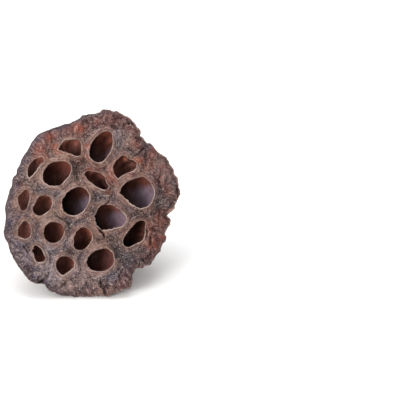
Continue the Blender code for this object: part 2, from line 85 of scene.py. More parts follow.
CELLS = [
    [(58.3, 149.7), (61.3, 144.7), (64.8, 141.1), (69.3, 140.4), (74.3, 139.7), (78.3, 140.5), (80.7, 143.7), (80.9, 149.7), (80.5, 155.5), (76.8, 156.5), (71.3, 154.6), (63.3, 151.7)],
    [(107.2, 131.7), (102, 133), (97, 136.7), (92.7, 141.7), (90.3, 147.1), (89.3, 152.1), (89.9, 157.1), (93.6, 161), (98.4, 162.6), (103.4, 160.6), (108.4, 155.3), (111.6, 149.1), (112.6, 142.1), (112.2, 136), (110.8, 132.7)],
    [(122.8, 156.1), (118.3, 158.8), (115.1, 162.4), (112.9, 166.8), (113.3, 171.8), (115.3, 176.3), (118.3, 179), (121.3, 176.3), (127.3, 173.1), (133.8, 170.6), (136.8, 166.8), (136, 162.6), (132.3, 160.3), (127.9, 159.2), (125.7, 156.8)],
    [(41.5, 157.8), (36.5, 159.2), (32.5, 161.7), (29.5, 165.2), (27.8, 170.2), (27.5, 175.2), (29.2, 177.8), (32, 176.2), (35.5, 171.8), (39.5, 166), (43.9, 160.2)],
    [(59.7, 161.8), (53.7, 162.5), (49.7, 164), (46.2, 167.5), (43.7, 171.5), (42.5, 176.5), (43.5, 181.5), (47.2, 184.8), (51.7, 186.3), (56.7, 186.4), (61.2, 184.5), (65.2, 180.5), (68.7, 177), (70.6, 172.5), (71, 168), (68.9, 164.5), (65.2, 162.2)],
    [(84.7, 174.3), (87.1, 171.8), (91.1, 171.5), (96.1, 172.3), (100.1, 173.7), (103.6, 176.2), (105.3, 180.5), (107, 184.5), (108.3, 187.7), (106.1, 189.7), (102.9, 190.3), (99.1, 188.5), (94.1, 185.5), (90.1, 182), (86.5, 178.3)],
    [(119.7, 192.1), (121.9, 187.2), (125.4, 183.5), (129.9, 180.9), (135.9, 178.7), (142.9, 177.1), (146.4, 179.3), (150.2, 183.1), (152.8, 187.7), (153.9, 192.7), (152.9, 198.7), (150.2, 203.9), (145.9, 207.3), (140.9, 208.5), (134.9, 206.7), (129.9, 203.2), (124.9, 198.7), (121.1, 195)],
    [(26.5, 189.7), (21.9, 192.7), (17.7, 197.9), (18.1, 202.2), (19.5, 206.7), (21.7, 210.9), (24.5, 211.1), (27.1, 206.7), (29.1, 201.7), (29.5, 196.7), (28.7, 191.7)],
    [(44.7, 195.4), (40.7, 196.6), (37.7, 199.1), (35.3, 203.1), (32.9, 208.7), (33.7, 213.1), (36.7, 215.9), (40.7, 216), (45.7, 213.1), (49.7, 209.9), (51.9, 205.1), (51.3, 200.1), (48.7, 196.7)],
    [(77.8, 187.4), (73, 188.9), (68, 191.9), (65, 195.9), (62.7, 200.9), (61.6, 206.4), (63, 210.4), (66.5, 213.7), (71, 215.6), (76, 215.4), (81, 213), (85.5, 208.4), (88.4, 202.4), (89.3, 196.4), (86.8, 191), (82.8, 187.9)],
    [(103.5, 204.9), (99.5, 207.2), (96.5, 210.8), (95, 215.8), (95.5, 221.8), (97.5, 226.2), (101.5, 229.2), (107.5, 230.2), (112.5, 228.6), (117.5, 228.2), (123.1, 225.7), (125.7, 220.9), (124.9, 215.8), (121.7, 212.2), (117.5, 208.8), (113.5, 206.3), (108.5, 205.3)],
    [(24.7, 221.3), (20.7, 225.1), (18.3, 228.8), (17.7, 233.3), (18.5, 236.5), (21.7, 238.4), (25.7, 239), (29.5, 237), (30.7, 232.3), (30.1, 227.3), (27.7, 223.1)],
    [(52, 222.3), (47.5, 224.3), (44.5, 228.3), (43.8, 233.3), (45, 238.3), (47.5, 241.8), (51.5, 243.3), (56.5, 242.3), (60.5, 239.8), (63.1, 235.8), (63.8, 230.3), (62, 225.3), (57.5, 222.7)],
    [(83.3, 227.7), (79.1, 229.2), (76.1, 232.7), (73.7, 237.7), (72.9, 242.7), (74.1, 247.7), (76.9, 250.6), (81.1, 250.4), (85.1, 248.7), (88.3, 245.7), (91.1, 241.1), (92.1, 236.7), (90.3, 232.2), (87.3, 228.9)],
    [(141.2, 220.8), (137.2, 222.2), (132.7, 226.5), (128.7, 231), (125.7, 235), (123.3, 239), (122.7, 242.5), (124.7, 246.2), (128.7, 247.5), (132.7, 245.5), (136.7, 243.5), (140.3, 241.9), (143.2, 239.1), (144.7, 233.5), (144.9, 227.5), (145, 223.1), (143.7, 221)],
    [(35.1, 245.5), (33.7, 246.4), (33.5, 247.9), (34.1, 249.1), (32.9, 249.4), (32.1, 250.7), (32.3, 252.3), (33.3, 253.1), (33.7, 254.5), (34.7, 258.5), (36.5, 262), (40.2, 262.5), (44.4, 261.3), (45.1, 257.9), (43.6, 254), (41.2, 249.9), (38.5, 246.7)],
    [(64.2, 256.5), (60.1, 257.5), (57.2, 260.5), (55.8, 265), (56.5, 269.1), (58.3, 272.1), (60.7, 274.5), (63.9, 275.1), (66.9, 272.9), (70.3, 270.7), (73.7, 267.9), (74.5, 264.5), (72.7, 260.5), (69.1, 257.5)],
    [(103.9, 248.2), (99.9, 249.6), (94.9, 251.3), (90.9, 254.2), (87.9, 257.8), (86.7, 262.2), (87.9, 267.1), (91.9, 270.2), (97.9, 271.6), (103.9, 271.4), (108.9, 269.2), (112.4, 265.2), (113.9, 260.2), (112.9, 255.2), (109.9, 251.1), (106.9, 248.7)],
]

# cracks, creases and furrows in the face: squares, width and depth in mm, and darkness, the painted shade in them
CRACKS = [
    ([(140.5, 135.5), (138, 137), (135.5, 138)], 0.32, 0.9, 0.85),
    ([(144, 148), (141, 151), (138, 153.5), (135.5, 155.5), (132.5, 157.5)], 0.42, 0.7, 0.5),
    ([(141, 142), (138.5, 145), (139.5, 148)], 0.3, 0.5, 0.4),
    ([(147, 153), (146.3, 158), (147.3, 164)], 0.6, 0.7, 0.4),
    ([(98.0, 227.5), (100, 230.2), (101.5, 231.8)], 0.34, 1.0, 0.9),
    ([(100.6, 230.2), (102.6, 232.2), (104.8, 234.6)], 0.66, 1.4, 1.0),
    ([(104.5, 234.5), (106, 236.5)], 0.30, 0.7, 0.7),
    ([(106, 204), (108.5, 202.3), (109.5, 200.5)], 0.35, 0.8, 0.8),
    ([(57.5, 214.8), (62, 218), (66, 220.6), (69.2, 223.6)], 0.27, 0.6, 0.8),
    ([(64, 215.8), (67, 218.2), (71, 219.6), (76, 219)], 0.22, 0.35, 0.45),
    ([(24, 246), (26, 248), (28.5, 251.5)], 0.45, 0.9, 0.8),
    ([(27, 243.5), (29.5, 247), (31, 251)], 0.35, 0.5, 0.4),
    ([(39.4, 284.0), (41.0, 281.8), (42.8, 279.6)], 0.85, 1.6, 1.0),
    ([(176.8, 187.0), (178.0, 190.5), (178.4, 194.0), (177.6, 197.5)], 0.42, 0.8, 0.95),
    ([(43.5, 281), (45, 278.5), (45.5, 276)], 0.35, 0.6, 0.5),
    ([(101, 281), (103.5, 287), (106, 294)], 0.55, 1.0, 0.55),
    ([(146, 230), (148, 233), (147, 237)], 0.5, 0.8, 0.6),
    ([(151, 236), (151.5, 240), (150, 245)], 0.55, 1.0, 0.7),
    ([(153.5, 228), (156, 232), (158.5, 237)], 0.5, 0.8, 0.5),
    ([(119.5, 192.5), (121, 193.5)], 0.35, 0.6, 0.8),
    ([(158, 205), (161, 210), (159.5, 216)], 0.6, 0.7, 0.4),
    ([(163, 171), (160, 178), (161, 186)], 0.6, 0.6, 0.3),
    ([(168, 176), (166, 184), (168, 192)], 0.6, 0.7, 0.35),
    ([(152, 250), (149, 256), (143, 261)], 0.6, 0.7, 0.4),
    ([(50, 130.5), (52.5, 136), (52, 142)], 0.5, 0.6, 0.45),
    ([(73, 127), (74.5, 132), (73, 136)], 0.5, 0.5, 0.35),
    ([(83, 124), (87, 121), (93, 118.5)], 1.0, 0.7, 0.4),
    ([(113, 114.5), (116, 119), (121, 122)], 0.6, 0.5, 0.35),
    ([(122, 118), (125, 123), (124, 128)], 0.5, 0.5, 0.3),
    ([(119, 246), (116, 250), (117, 257)], 0.9, 0.7, 0.35),
    ([(98, 193), (103, 196), (100, 200)], 0.45, 0.5, 0.4),
    ([(93, 190), (96, 194), (92, 200)], 0.4, 0.4, 0.35),
    ([(67, 217), (68.5, 221), (67, 226)], 0.4, 0.3, 0.12),
    ([(86, 250), (82, 254), (79, 259)], 0.6, 0.5, 0.25),
    ([(124, 269), (120, 274), (121, 280)], 0.6, 0.7, 0.4),
    ([(88, 283), (90, 288), (89, 295)], 0.6, 0.6, 0.3),
    ([(66, 281), (69, 287), (67, 294)], 0.5, 0.5, 0.25),
]
# nicks in the rim: a square on it, width and depth in mm, and darkness, the painted shade in them
NICKS = [(40.6, 284.2, 0.6, 1.2, 1.0), (46.4, 288.4, 0.5, 0.5, 0.5), (140.2, 135.6, 0.6, 0.8, 0.9), (168.2, 215.8, 0.8, 0.8, 0.8), (179.6, 187.2, 0.5, 0.6, 0.8), (181.0, 192.5, 0.5, 0.6, 0.8), (178.0, 201.0, 0.5, 0.5, 0.7), (133.2, 276.4, 0.7, 0.7, 0.7), (105.6, 296.4, 0.6, 0.5, 0.6), (164.6, 243.8, 0.5, 0.4, 0.5)]
# pits in the face: a square, width and depth in mm; they are painted dark, painted shade in them
PITS = [
    (129.4, 122.6, 0.8, 1.4), (132.8, 123.0, 0.8, 1.3), (131.5, 126, 0.4, 0.6), (177.4, 184.5, 0.45, 0.9), (178.6, 188.5, 0.5, 1.0), (176.6, 191.5, 0.4, 0.7), (178.3, 195.5, 0.6, 1.1),
    (175.8, 199.5, 0.45, 0.8), (174.6, 203.2, 0.4, 0.7), (165.3, 216.5, 0.5, 0.7), (101, 286, 0.6, 0.7), (158.6, 251, 0.4, 0.6), (142.5, 143.4, 0.4, 0.5), (137.5, 147, 0.4, 0.5), (133, 280, 0.5, 0.8),
]
# low and high places of the face: squares, radius in squares, rise in mm
SWELLS = [
    (75.5, 168, 5.5, -1.3), (76, 161, 4.0, -0.7), (50, 149, 4.5, -0.8), (87, 121, 5.0, -0.6), (47, 190, 6.0, -0.5), (97, 195, 6.0, -0.6), (68, 222, 5.0, -0.5), (98, 238, 5.0, -0.5), (118, 252, 6.0, -0.8), (41, 240, 5.0, -0.5),
    (52, 253, 5.0, -0.5), (80, 262, 5.0, -0.5), (135, 151, 4.0, -0.7), (148, 160, 4.0, -0.5), (160, 200, 5.0, -0.7), (146, 213, 5.0, -0.5), (113, 272, 5.0, -0.6), (104, 287, 4.0, -0.8), (130, 264, 5.0, -0.6),
    (117, 147, 4.0, -0.5), (36, 185, 4.0, -0.4), (63, 156.5, 5.0, 0.7), (45, 157, 4.0, 0.5), (133, 144, 5.0, 0.8), (140, 161, 4.5, 0.7), (154, 172, 6.0, 0.8), (168, 186, 5.0, 0.6), (156, 230, 5.0, 0.8),
    (151, 243, 3.5, 0.6), (118, 284, 5.0, 0.8), (95, 284, 5.0, 0.6), (74, 286, 6.0, 0.6), (55, 284, 5.0, 0.5), (112, 118, 6.0, 0.5), (124, 132, 5.0, 0.5), (80, 129, 5.0, 0.5), (57, 134, 5.0, 0.5), (47, 221, 4.0, 0.5), (114, 180, 4.0, 0.5),
]
# where the tissue has a colour of its own, and in SHADE the painted shade in hollows, folds and under lips: squares,
# radius in squares, strength
ORANGE = [
    (64, 159, 5, 0.75), (80, 165, 5, 0.7), (89, 168, 5, 0.8), (98, 168, 4, 0.7), (110, 181, 5, 0.8), (110, 191, 4, 0.7), (160, 212, 5, 0.7), (165, 218, 4, 0.7), (158, 237, 5, 0.6), (95, 245, 4, 0.6), (54, 147, 4, 0.8),
    (58, 153, 5, 0.8), (87, 147, 3.5, 0.7), (86, 155, 3.5, 0.6), (152, 151, 5, 0.6), (131, 173, 3.5, 0.6), (161, 217, 5, 0.7), (167, 215, 4, 0.6), (79, 128, 5.5, 1.0), (50, 137, 5.5, 0.7), (40, 150, 5.5, 0.95),
    (47, 155, 4, 0.9), (134, 143, 6, 0.75), (140, 161, 5, 0.9), (148, 166, 6, 0.6), (162, 177, 6, 0.6), (166, 190, 5, 0.6), (113, 172, 5, 0.7), (114, 184, 5, 0.7), (152, 228, 6, 0.6), (153, 243, 5, 0.7),
]
ROSE = [
    (112, 118, 10, 1.0), (97, 119, 9, 1.0), (84, 122, 8, 0.9), (126, 126, 8, 0.6), (66, 129, 7, 0.6), (50, 133, 7, 0.6), (43, 143, 7, 0.6), (152, 158, 8, 0.8), (163, 170, 8, 0.9), (168, 184, 8, 0.9), (156, 226, 9, 0.9),
    (160, 238, 8, 0.8), (154, 250, 8, 0.6), (110, 176, 8, 0.6), (121, 284, 8, 0.7), (20, 182, 7, 0.6),
]
GREY = [
    (21, 174, 5, 0.8), (14, 184, 4, 0.6), (55, 207, 4, 0.7), (52, 262, 6, 0.9), (55, 272, 6, 0.8), (94, 212, 4, 0.7), (70, 232, 4, 0.6), (158, 171, 4, 0.6), (12, 225, 5, 0.6), (47, 190, 6, 1.0), (57, 194, 5, 0.7),
    (39, 188, 4, 0.6), (97, 195, 6, 0.9), (105, 198, 5, 0.6), (68, 223, 5, 0.8), (66, 240, 6, 0.8), (40, 240, 5, 0.9), (52, 250, 7, 1.0), (47, 268, 6, 0.7), (28, 255, 8, 1.0), (22, 246, 6, 0.8), (34, 270, 7, 0.8),
    (14, 240, 6, 0.8), (80, 257, 6, 0.8), (98, 241, 5, 0.6), (118, 252, 7, 1.0), (127, 256, 7, 1.0), (112, 275, 6, 1.0), (137, 262, 5, 0.6), (160, 203, 6, 0.8), (158, 190, 4, 0.7), (116, 143, 5, 0.7), (150, 147, 4, 0.8),
    (48, 283, 6, 0.7), (127, 264, 5, 0.7),
]
BLUE = [
    (42, 264, 7, 1.0), (54, 277, 6, 1.0), (52, 256, 5, 0.8), (102, 273, 5, 0.7), (156, 194, 7, 0.9), (50, 272, 6, 0.8), (52, 260, 5, 0.6), (55, 282, 6, 0.6), (162, 197, 5, 0.6), (19, 244, 9, 0.55), (25, 262, 9, 0.6),
    (35, 278, 7, 1.0), (50, 283, 7, 1.0), (46, 252, 5, 0.8), (111, 275, 7, 1.0), (174, 184, 6, 0.6), (9, 222, 6, 0.8), (30, 150, 5, 0.7), (37, 138, 5, 0.7), (151, 148, 5, 0.7), (115, 137, 6, 0.7),
]
PALE = [
    (49, 249, 5, 0.6), (33, 184, 4, 0.6), (71, 184, 4, 0.6),
    (46, 271.5, 5, 1.0), (49, 275, 3.5, 0.8), (30, 175, 3, 0.6), (166, 176, 5, 0.9), (159, 160, 5, 0.75), (61, 281, 6, 0.7), (63, 157.3, 4.5, 0.7), (54, 158, 3.5, 0.6), (41, 178, 4, 0.7), (47, 220, 5, 1.0), (56, 219, 4, 0.6), (51, 267, 4.5, 0.8),
    (52, 275, 4, 0.6), (86, 277, 5, 0.7), (72, 284, 6, 0.6), (121, 134, 5, 0.6), (129, 140, 5, 0.7), (116, 188, 4, 0.6), (122, 180, 4, 0.7), (95, 247, 4, 0.7), (138, 168, 3.5, 0.6), (61, 192, 3.5, 0.8),
]
TAN = [
    (55, 215, 6, 0.8), (44, 219, 5, 0.9), (95, 235, 7, 0.9), (104, 241, 7, 0.9), (92, 229, 5, 0.7), (54, 157, 6, 0.8), (66, 157, 5, 0.7), (77, 182, 5, 0.6), (37, 182, 4, 0.7), (104, 165, 5, 0.6),
]
MAUVE = [
    (27, 255, 8, 0.6),
    (77, 270, 6, 0.8), (82, 279, 6, 0.7), (52, 268, 6, 0.7), (69, 246, 5, 0.6), (121, 135, 6, 0.6),
]
SHADE = [
    (99, 167, 6, 0.55),
    (76, 165, 4.2, 1.0), (75, 174, 4.2, 1.0), (79, 168, 5.5, 1.0), (74, 170, 3.2, 1.0), (82, 161, 5, 0.6), (50, 149, 3.5, 0.6), (86, 121, 4.5, 0.55), (135, 152, 3.5, 0.6), (161, 194, 6, 0.8), (158, 206, 6, 0.8),
    (167, 202, 5, 0.75), (174, 187, 4, 0.6), (146, 216, 4, 0.6), (118, 247, 6, 0.85), (120, 258, 5, 0.7), (106, 188, 6, 0.7), (71, 252, 5, 0.7), (142, 263, 4, 0.6), (141, 255, 5, 0.7), (105, 290, 4, 0.9), (111, 287, 6, 0.75),
    (67, 230, 4, 0.55), (31, 274, 4, 0.55), (87, 166, 4, 0.6), (22, 179, 5.5, 0.8), (12, 226, 5, 0.7), (112, 188, 4, 0.6), (94, 210, 5, 0.7), (138, 213, 6, 0.9), (142, 168, 4, 0.55), (156, 227, 5, 0.7), (114, 241, 5, 0.55),
    (136, 250, 6, 0.6), (29, 152, 4, 0.8),
]
TORN = [
    (104.5, 231.5), (106.8, 233.2), (108.6, 234.6), (106.4, 235.2), (110.2, 233.0), (112, 231.5), (103, 230.3), (176.3, 186.5), (178.4, 192), (176.8, 196.8), (175.6, 201.5), (43.6, 282.2), (61.6, 208.2), (63.2, 210.2), (65.4, 258.3), (68, 259.5),
    (66.0, 272.2), (73.2, 268.4), (86.4, 250.2), (88.2, 248.6), (71.5, 214.6), (80.5, 216.2), (33.4, 246.2), (36.2, 245.0),
]  # pale torn fibres
DUST = [
    (46, 187), (23, 263), (138, 250), (140.5, 248.5), (123.5, 256), (36, 265), (52, 255), (55, 254), (49, 247), (61, 279), (70, 282), (88, 283), (94, 288), (77, 256), (33, 236.5), (117, 262), (110, 273), (132, 259), (128, 251), (64, 245), (46, 262),
    (155, 191.5), (164, 188), (23.6, 158.6), (16.7, 174.6), (150, 172), (96, 278), (59, 290), (80, 289), (101, 276), (88, 164), (55, 279), (83, 279), (66, 249),
]
# the part of the mouth that is tattered, in degrees, and how much
TATTERED = {1: (-30, 0.5), 2: (-110, 0.3), 3: (60, 1.0), 4: (-90, 0.3), 5: (-120, 0.5), 6: (20, 0.5), 7: (190, 0.9), 8: (-90, 0.25), 9: (-120, 0.4), 10: (-135, 1.2), 11: (-125, 1.2), 12: (0, 0.1), 13: (-90, 0.35), 14: (-140, 1.0), 15: (-20, 0.5), 16: (130, 1.0), 17: (-60, 1.4), 18: (90, 1.0)}
# the wall with a waxy bloom that is partly a painted sheen: the way it lies in degrees, where across the cell it starts
# and is full (0 is the middle and 1 the wall), where it stops and is gone above, and how much
BLOOM_AND_SHEEN = {7: (10, -0.02, 1.02, 0.22, 0.80, 0.80), 10: (-10, -0.04, 0.92, 0.05, 0.66, 0.86), 11: (5, 0.10, 0.92, 0.22, 0.80, 0.88), 2: (-35, -0.20, 1.0, 0.05, 0.55, 0.40), 18: (-20, 0.10, 1.2, 0.3, 0.9, 0.10), 5: (-10, 0.20, 1.2, 0.3, 0.9, 0.08)}
# painted light and shade in the cells: the wall that catches the light, in degrees, how much painted light it gets, how
# light the cell is painted, and how dark the painted shade makes the wall across from it and the bottom
CELL_LOOK = {
    1: (120, 0.3, 2.7, 0.4, 0.0), 2: (28, 1.0, 1.12, 0.95, 0.0), 3: (135, 0.45, 3.8, 0.35, 0.3), 4: (100, 0.25, 2.7, 0.5, 0.0), 5: (38, 0.70, 1.25, 0.45, 0.0), 6: (110, 0.45, 1.9, 0.5, 0.0), 7: (68, 0.68, 0.94, 0.95, 0.0),
    8: (150, 0.3, 3.3, 0.4, 0.0), 9: (85, 0.3, 3.1, 0.5, 0.1), 10: (55, 0.45, 0.92, 0.85, 0.0), 11: (60, 0.65, 1.45, 0.95, 0.0), 12: (180, 0.1, 2.9, 0.0, 0.0), 13: (25, 0.32, 2.3, 0.5, 0.0), 14: (95, 0.60, 4.1, 0.65, 0.35),
    15: (40, 0.35, 0.85, 0.6, 0.2), 16: (-60, 0.2, 2.5, 0.4, 0.0), 17: (55, 0.25, 2.6, 0.3, 0.1), 18: (5, 0.62, 1.15, 0.4, 0.0),
}
# the mouths whose lip is bright
LIPS = {7: 0.9, 5: 0.25, 2: 0.25, 3: 0.2, 10: 0.2, 11: 0.2, 4: 0.3, 6: -0.25, 14: -0.2, 17: -0.15, 18: -0.1, 15: -0.1}
# where the painted shade lies on the wall when it isn't across from the painted light, in degrees
PAINTED_SHADE_WAY = {2: 180, 5: 190, 7: 180, 10: 170, 18: 180, 11: 190}
# ridges down the walls, with painted light on their crests and painted shade beside them: place and width in degrees,
# height in mm, from and to as shares of the depth
RIDGES = {
    1: [(115, 14, 0.6, 0.1, 1.0), (40, 10, 0.3, 0.1, 0.9)], 2: [(-18, 13, 0.9, 0.1, 0.9), (12, 8, 0.35, 0.0, 0.7), (38, 8, 0.45, 0.05, 0.7), (66, 9, 0.35, 0.05, 0.8)], 3: [(112, 13, 0.45, 0.1, 1.0), (62, 11, 0.5, 0.05, 0.9), (150, 8, 0.4, 0.1, 0.9), (20, 9, 0.4, 0.1, 0.8)],
    4: [(60, 12, 0.3, 0.1, 0.9)], 6: [(100, 14, 0.6, 0.1, 0.9), (-20, 12, 0.4, 0.1, 0.8), (150, 10, 0.4, 0.1, 0.8)], 14: [(150, 14, 0.9, 0.15, 1.0), (70, 8, 0.3, 0.0, 0.5)],
    15: [(72, 12, 0.9, 0.05, 1.0), (-5, 9, 0.4, 0.1, 0.8), (20, 7, 0.3, 0.0, 0.6)], 16: [(160, 14, 0.5, 0.1, 1.0)], 9: [(70, 12, 0.5, 0.1, 0.8), (20, 9, 0.3, 0.1, 0.7)], 17: [(60, 9, 0.3, 0.0, 0.6), (10, 8, 0.3, 0.0, 0.6)],
}

# ---- how finely the skin is cut ----------------------------------------------------------------------------------------
FACE_STEP = 0.44
MOUTH_STEP = 0.46
RIM_COLUMNS = 656
CELL_STEP = 0.78


def wave(angle):
    """The border's gentle rise and fall round the face, as in the CAD model."""
    a = np.radians([k for k, _ in FACE_WAVE])
    v = np.array([k for _, k in FACE_WAVE])
    a3, v3 = np.concatenate([a - 2 * math.pi, a, a + 2 * math.pi]), np.tile(v, 3)
    slope = np.gradient(v3, a3)
    t = (np.asarray(angle) + math.pi) % (2 * math.pi) - math.pi
    i = np.clip(np.searchsorted(a3, t) - 1, 0, len(a3) - 2)
    h = a3[i + 1] - a3[i]
    k = (t - a3[i]) / h
    return (2 * k**3 - 3 * k**2 + 1) * v3[i] + (k**3 - 2 * k**2 + k) * h * slope[i] + (3 * k**2 - 2 * k**3) * v3[i + 1] + (k**3 - k**2) * h * slope[i + 1]


def plain_face(q):
    r = np.linalg.norm(q, axis=1) / FACE_RADIUS
    z = FACE_DOME * (1 - np.clip(r, 0, 1.15) ** 2)
    return z + wave(np.arctan2(q[:, 1], q[:, 0])) * np.clip(r, 0, 1.1) ** 3


def eye():
    """The eye and its axes (right, up, back) in the pod's own frame."""
    a, e, lean = math.radians(EYE_TURN), math.radians(EYE_HEIGHT), math.radians(LEAN)
    right = np.array([math.cos(a), -math.sin(a), 0])
    up = np.array([math.sin(a) * math.sin(e), math.cos(a) * math.sin(e), math.cos(e)])
    back = np.array([-math.sin(a) * math.cos(e), -math.cos(a) * math.cos(e), math.sin(e)])
    own = np.array([[1, 0, 0], [0, math.sin(lean), math.cos(lean)], [0, -math.cos(lean), math.sin(lean)]])
    right, up, back = own @ right, own @ up, own @ back
    x0, y0 = (GRID_CENTRE[0] - GRID_MIDDLE[0]) * SQUARE, (GRID_MIDDLE[1] - GRID_CENTRE[1]) * SQUARE
    return EYE_DISTANCE * back - x0 * right - y0 * up, right, up, back


def to_face(points, drop=0.0):
    """Squares of the drawing as x, y on the face in mm, or on a surface that lies drop below it."""
    p = np.array(points, float)
    place, right, up, back = eye()
    across, rise = (p[:, 0] - GRID_MIDDLE[0]) * SQUARE / EYE_DISTANCE, (GRID_MIDDLE[1] - p[:, 1]) * SQUARE / EYE_DISTANCE
    ray = across[:, None] * right + rise[:, None] * up - back
    q = np.zeros((len(p), 2))
    for _ in range(12):
        far = (plain_face(q) - drop - place[2]) / ray[:, 2]
        q = (place + far[:, None] * ray)[:, :2]
    return q


def closed_curve(points, n):
    """n points evenly spaced along the smooth closed curve through points, counterclockwise."""
    p = np.array(points, float)
    area = 0.5 * np.sum(p[:, 0] * np.roll(p[:, 1], -1) - np.roll(p[:, 0], -1) * p[:, 1])
    if area < 0:
        p = p[::-1]
    p0, p1, p2, p3 = np.roll(p, 1, 0), p, np.roll(p, -1, 0), np.roll(p, -2, 0)

    def knot(a, b):
        return np.sqrt(np.linalg.norm(b - a, axis=1))[:, None]

    t01, t12, t23 = knot(p0, p1), knot(p1, p2), knot(p2, p3)
    m1 = t12 * ((p1 - p0) / t01 - (p2 - p0) / (t01 + t12) + (p2 - p1) / t12)
    m2 = t12 * ((p2 - p1) / t12 - (p3 - p1) / (t12 + t23) + (p3 - p2) / t23)
    fine = []
    for t in np.linspace(0, 1, 24, endpoint=False):
        h00, h10, h01, h11 = 2 * t**3 - 3 * t**2 + 1, t**3 - 2 * t**2 + t, -2 * t**3 + 3 * t**2, t**3 - t**2
        fine.append(h00 * p1 + h10 * m1 + h01 * p2 + h11 * m2)
    fine = np.stack(fine, 1).reshape(-1, 2)
    ring = np.vstack([fine, fine[:1]])
    run = np.concatenate([[0], np.cumsum(np.linalg.norm(np.diff(ring, axis=0), axis=1))])
    at = np.linspace(0, run[-1], n, endpoint=False)
    return np.stack([np.interp(at, run, ring[:, 0]), np.interp(at, run, ring[:, 1])], 1)


def length_of(loop):
    return float(np.linalg.norm(loop - np.roll(loop, -1, 0), axis=1).sum())


def distance_to(line, q, closed=True, reach=None):
    """Distance of each point of q from a polyline. Points further than reach from its box get reach."""
    a, b = (line, np.roll(line, -1, 0)) if closed else (line[:-1], line[1:])
    out = np.full(len(q), reach if reach is not None else 0.0)
    if reach is None:
        pick = np.arange(len(q))
    else:
        pick = np.nonzero(np.all((q > line.min(0) - reach) & (q < line.max(0) + reach), axis=1))[0]
    d = b - a
    for chunk in np.array_split(pick, max(1, len(pick) * len(a) // 3_000_000 + 1)):
        if len(chunk):
            t = np.clip(((q[chunk, None] - a) * d).sum(2) / np.maximum((d * d).sum(1), 1e-12), 0, 1)
            near = np.linalg.norm(q[chunk, None] - (a + t[..., None] * d), axis=2).min(1)
            out[chunk] = near if reach is None else np.minimum(near, reach)
    return out


def inside(loop, q):
    out = np.zeros(len(q), bool)
    pick = np.nonzero(np.all((q > loop.min(0)) & (q < loop.max(0)), axis=1))[0]
    a, b = loop, np.roll(loop, -1, 0)
    for chunk in np.array_split(pick, max(1, len(pick) * len(a) // 4_000_000 + 1)):
        if len(chunk):
            x, y = q[chunk, 0][:, None], q[chunk, 1][:, None]
            cross = (a[:, 1] > y) != (b[:, 1] > y)
            with np.errstate(divide="ignore", invalid="ignore"):
                at = a[:, 0] + (y - a[:, 1]) * (b[:, 0] - a[:, 0]) / (b[:, 1] - a[:, 1])
            out[chunk] = (cross & (x < at)).sum(1) % 2 == 1
    return out


def smooth(t):
    t = np.clip(t, 0, 1)
    return t * t * (3 - 2 * t)


# ---- noise -----------------------------------------------------------------------------------------------------------
_directions = np.random.default_rng(7).normal(size=(256, 3))
DIRECTIONS = _directions / np.linalg.norm(_directions, axis=1)[:, None]


def noise(p, size, seed=0):
    """Smooth noise from about -1 to 1 at points p in mm, with bumps about size mm across."""
    q = p / size + seed * 17.37
    i = np.floor(q).astype(np.int64)
    f = q - i
    u = f * f * f * (f * (f * 6 - 15) + 10)
    total = np.zeros(len(p))
    for corner in range(8):
        c = np.array([corner & 1, corner >> 1 & 1, corner >> 2 & 1])
        j = i + c
        h = (j[:, 0] * 374761393 + j[:, 1] * 668265263 + j[:, 2] * 1440662683 + seed * 1013) & 0xFFFFFFFF
        h = ((h ^ (h >> 13)) * 1274126177) & 0xFFFFFFFF
        w = np.where(c == 1, u, 1 - u).prod(1)
        total += w * (DIRECTIONS[(h ^ (h >> 15)) & 255] * (f - c)).sum(1)
    return total * 1.75


def layered(p, size, octaves, seed=0, keep=0.5):
    total, weight = 0, 1.0
    for k in range(octaves):
        total = total + weight * noise(p, size * 0.5**k, seed + 31 * k)
        weight *= keep
    return total


def creased(p, size, seed=0):
    """From 0 to 1, with sharp valleys at 0 that wander about like wrinkles."""
    return np.clip(np.abs(noise(p, size, seed)) * 1.6, 0, 1)


# ---- the pod's surfaces ------------------------------------------------------------------------------------------------
def laid_down(points):
    """From the pod's own frame in mm to the row frame in metres; what would be under the ground is flattened on it."""
    turn = math.pi / 2 - math.radians(TRUE_LEAN)
    c, s = math.cos(turn), math.sin(turn)
    w = np.column_stack([points[:, 0], c * points[:, 1] - s * points[:, 2], s * points[:, 1] + c * points[:, 2]]) + SHIFT
    w[:, 2] = np.maximum(w[:, 2], 0)
    return w / 1000


def round_from(angle, x, y):
    """How far round the rim each angle is from a square on it."""
    rim = to_face([(x, y)], -RIM_Z)[0]
    return np.abs((angle - math.atan2(rim[1], rim[0]) + math.pi) % (2 * math.pi) - math.pi)


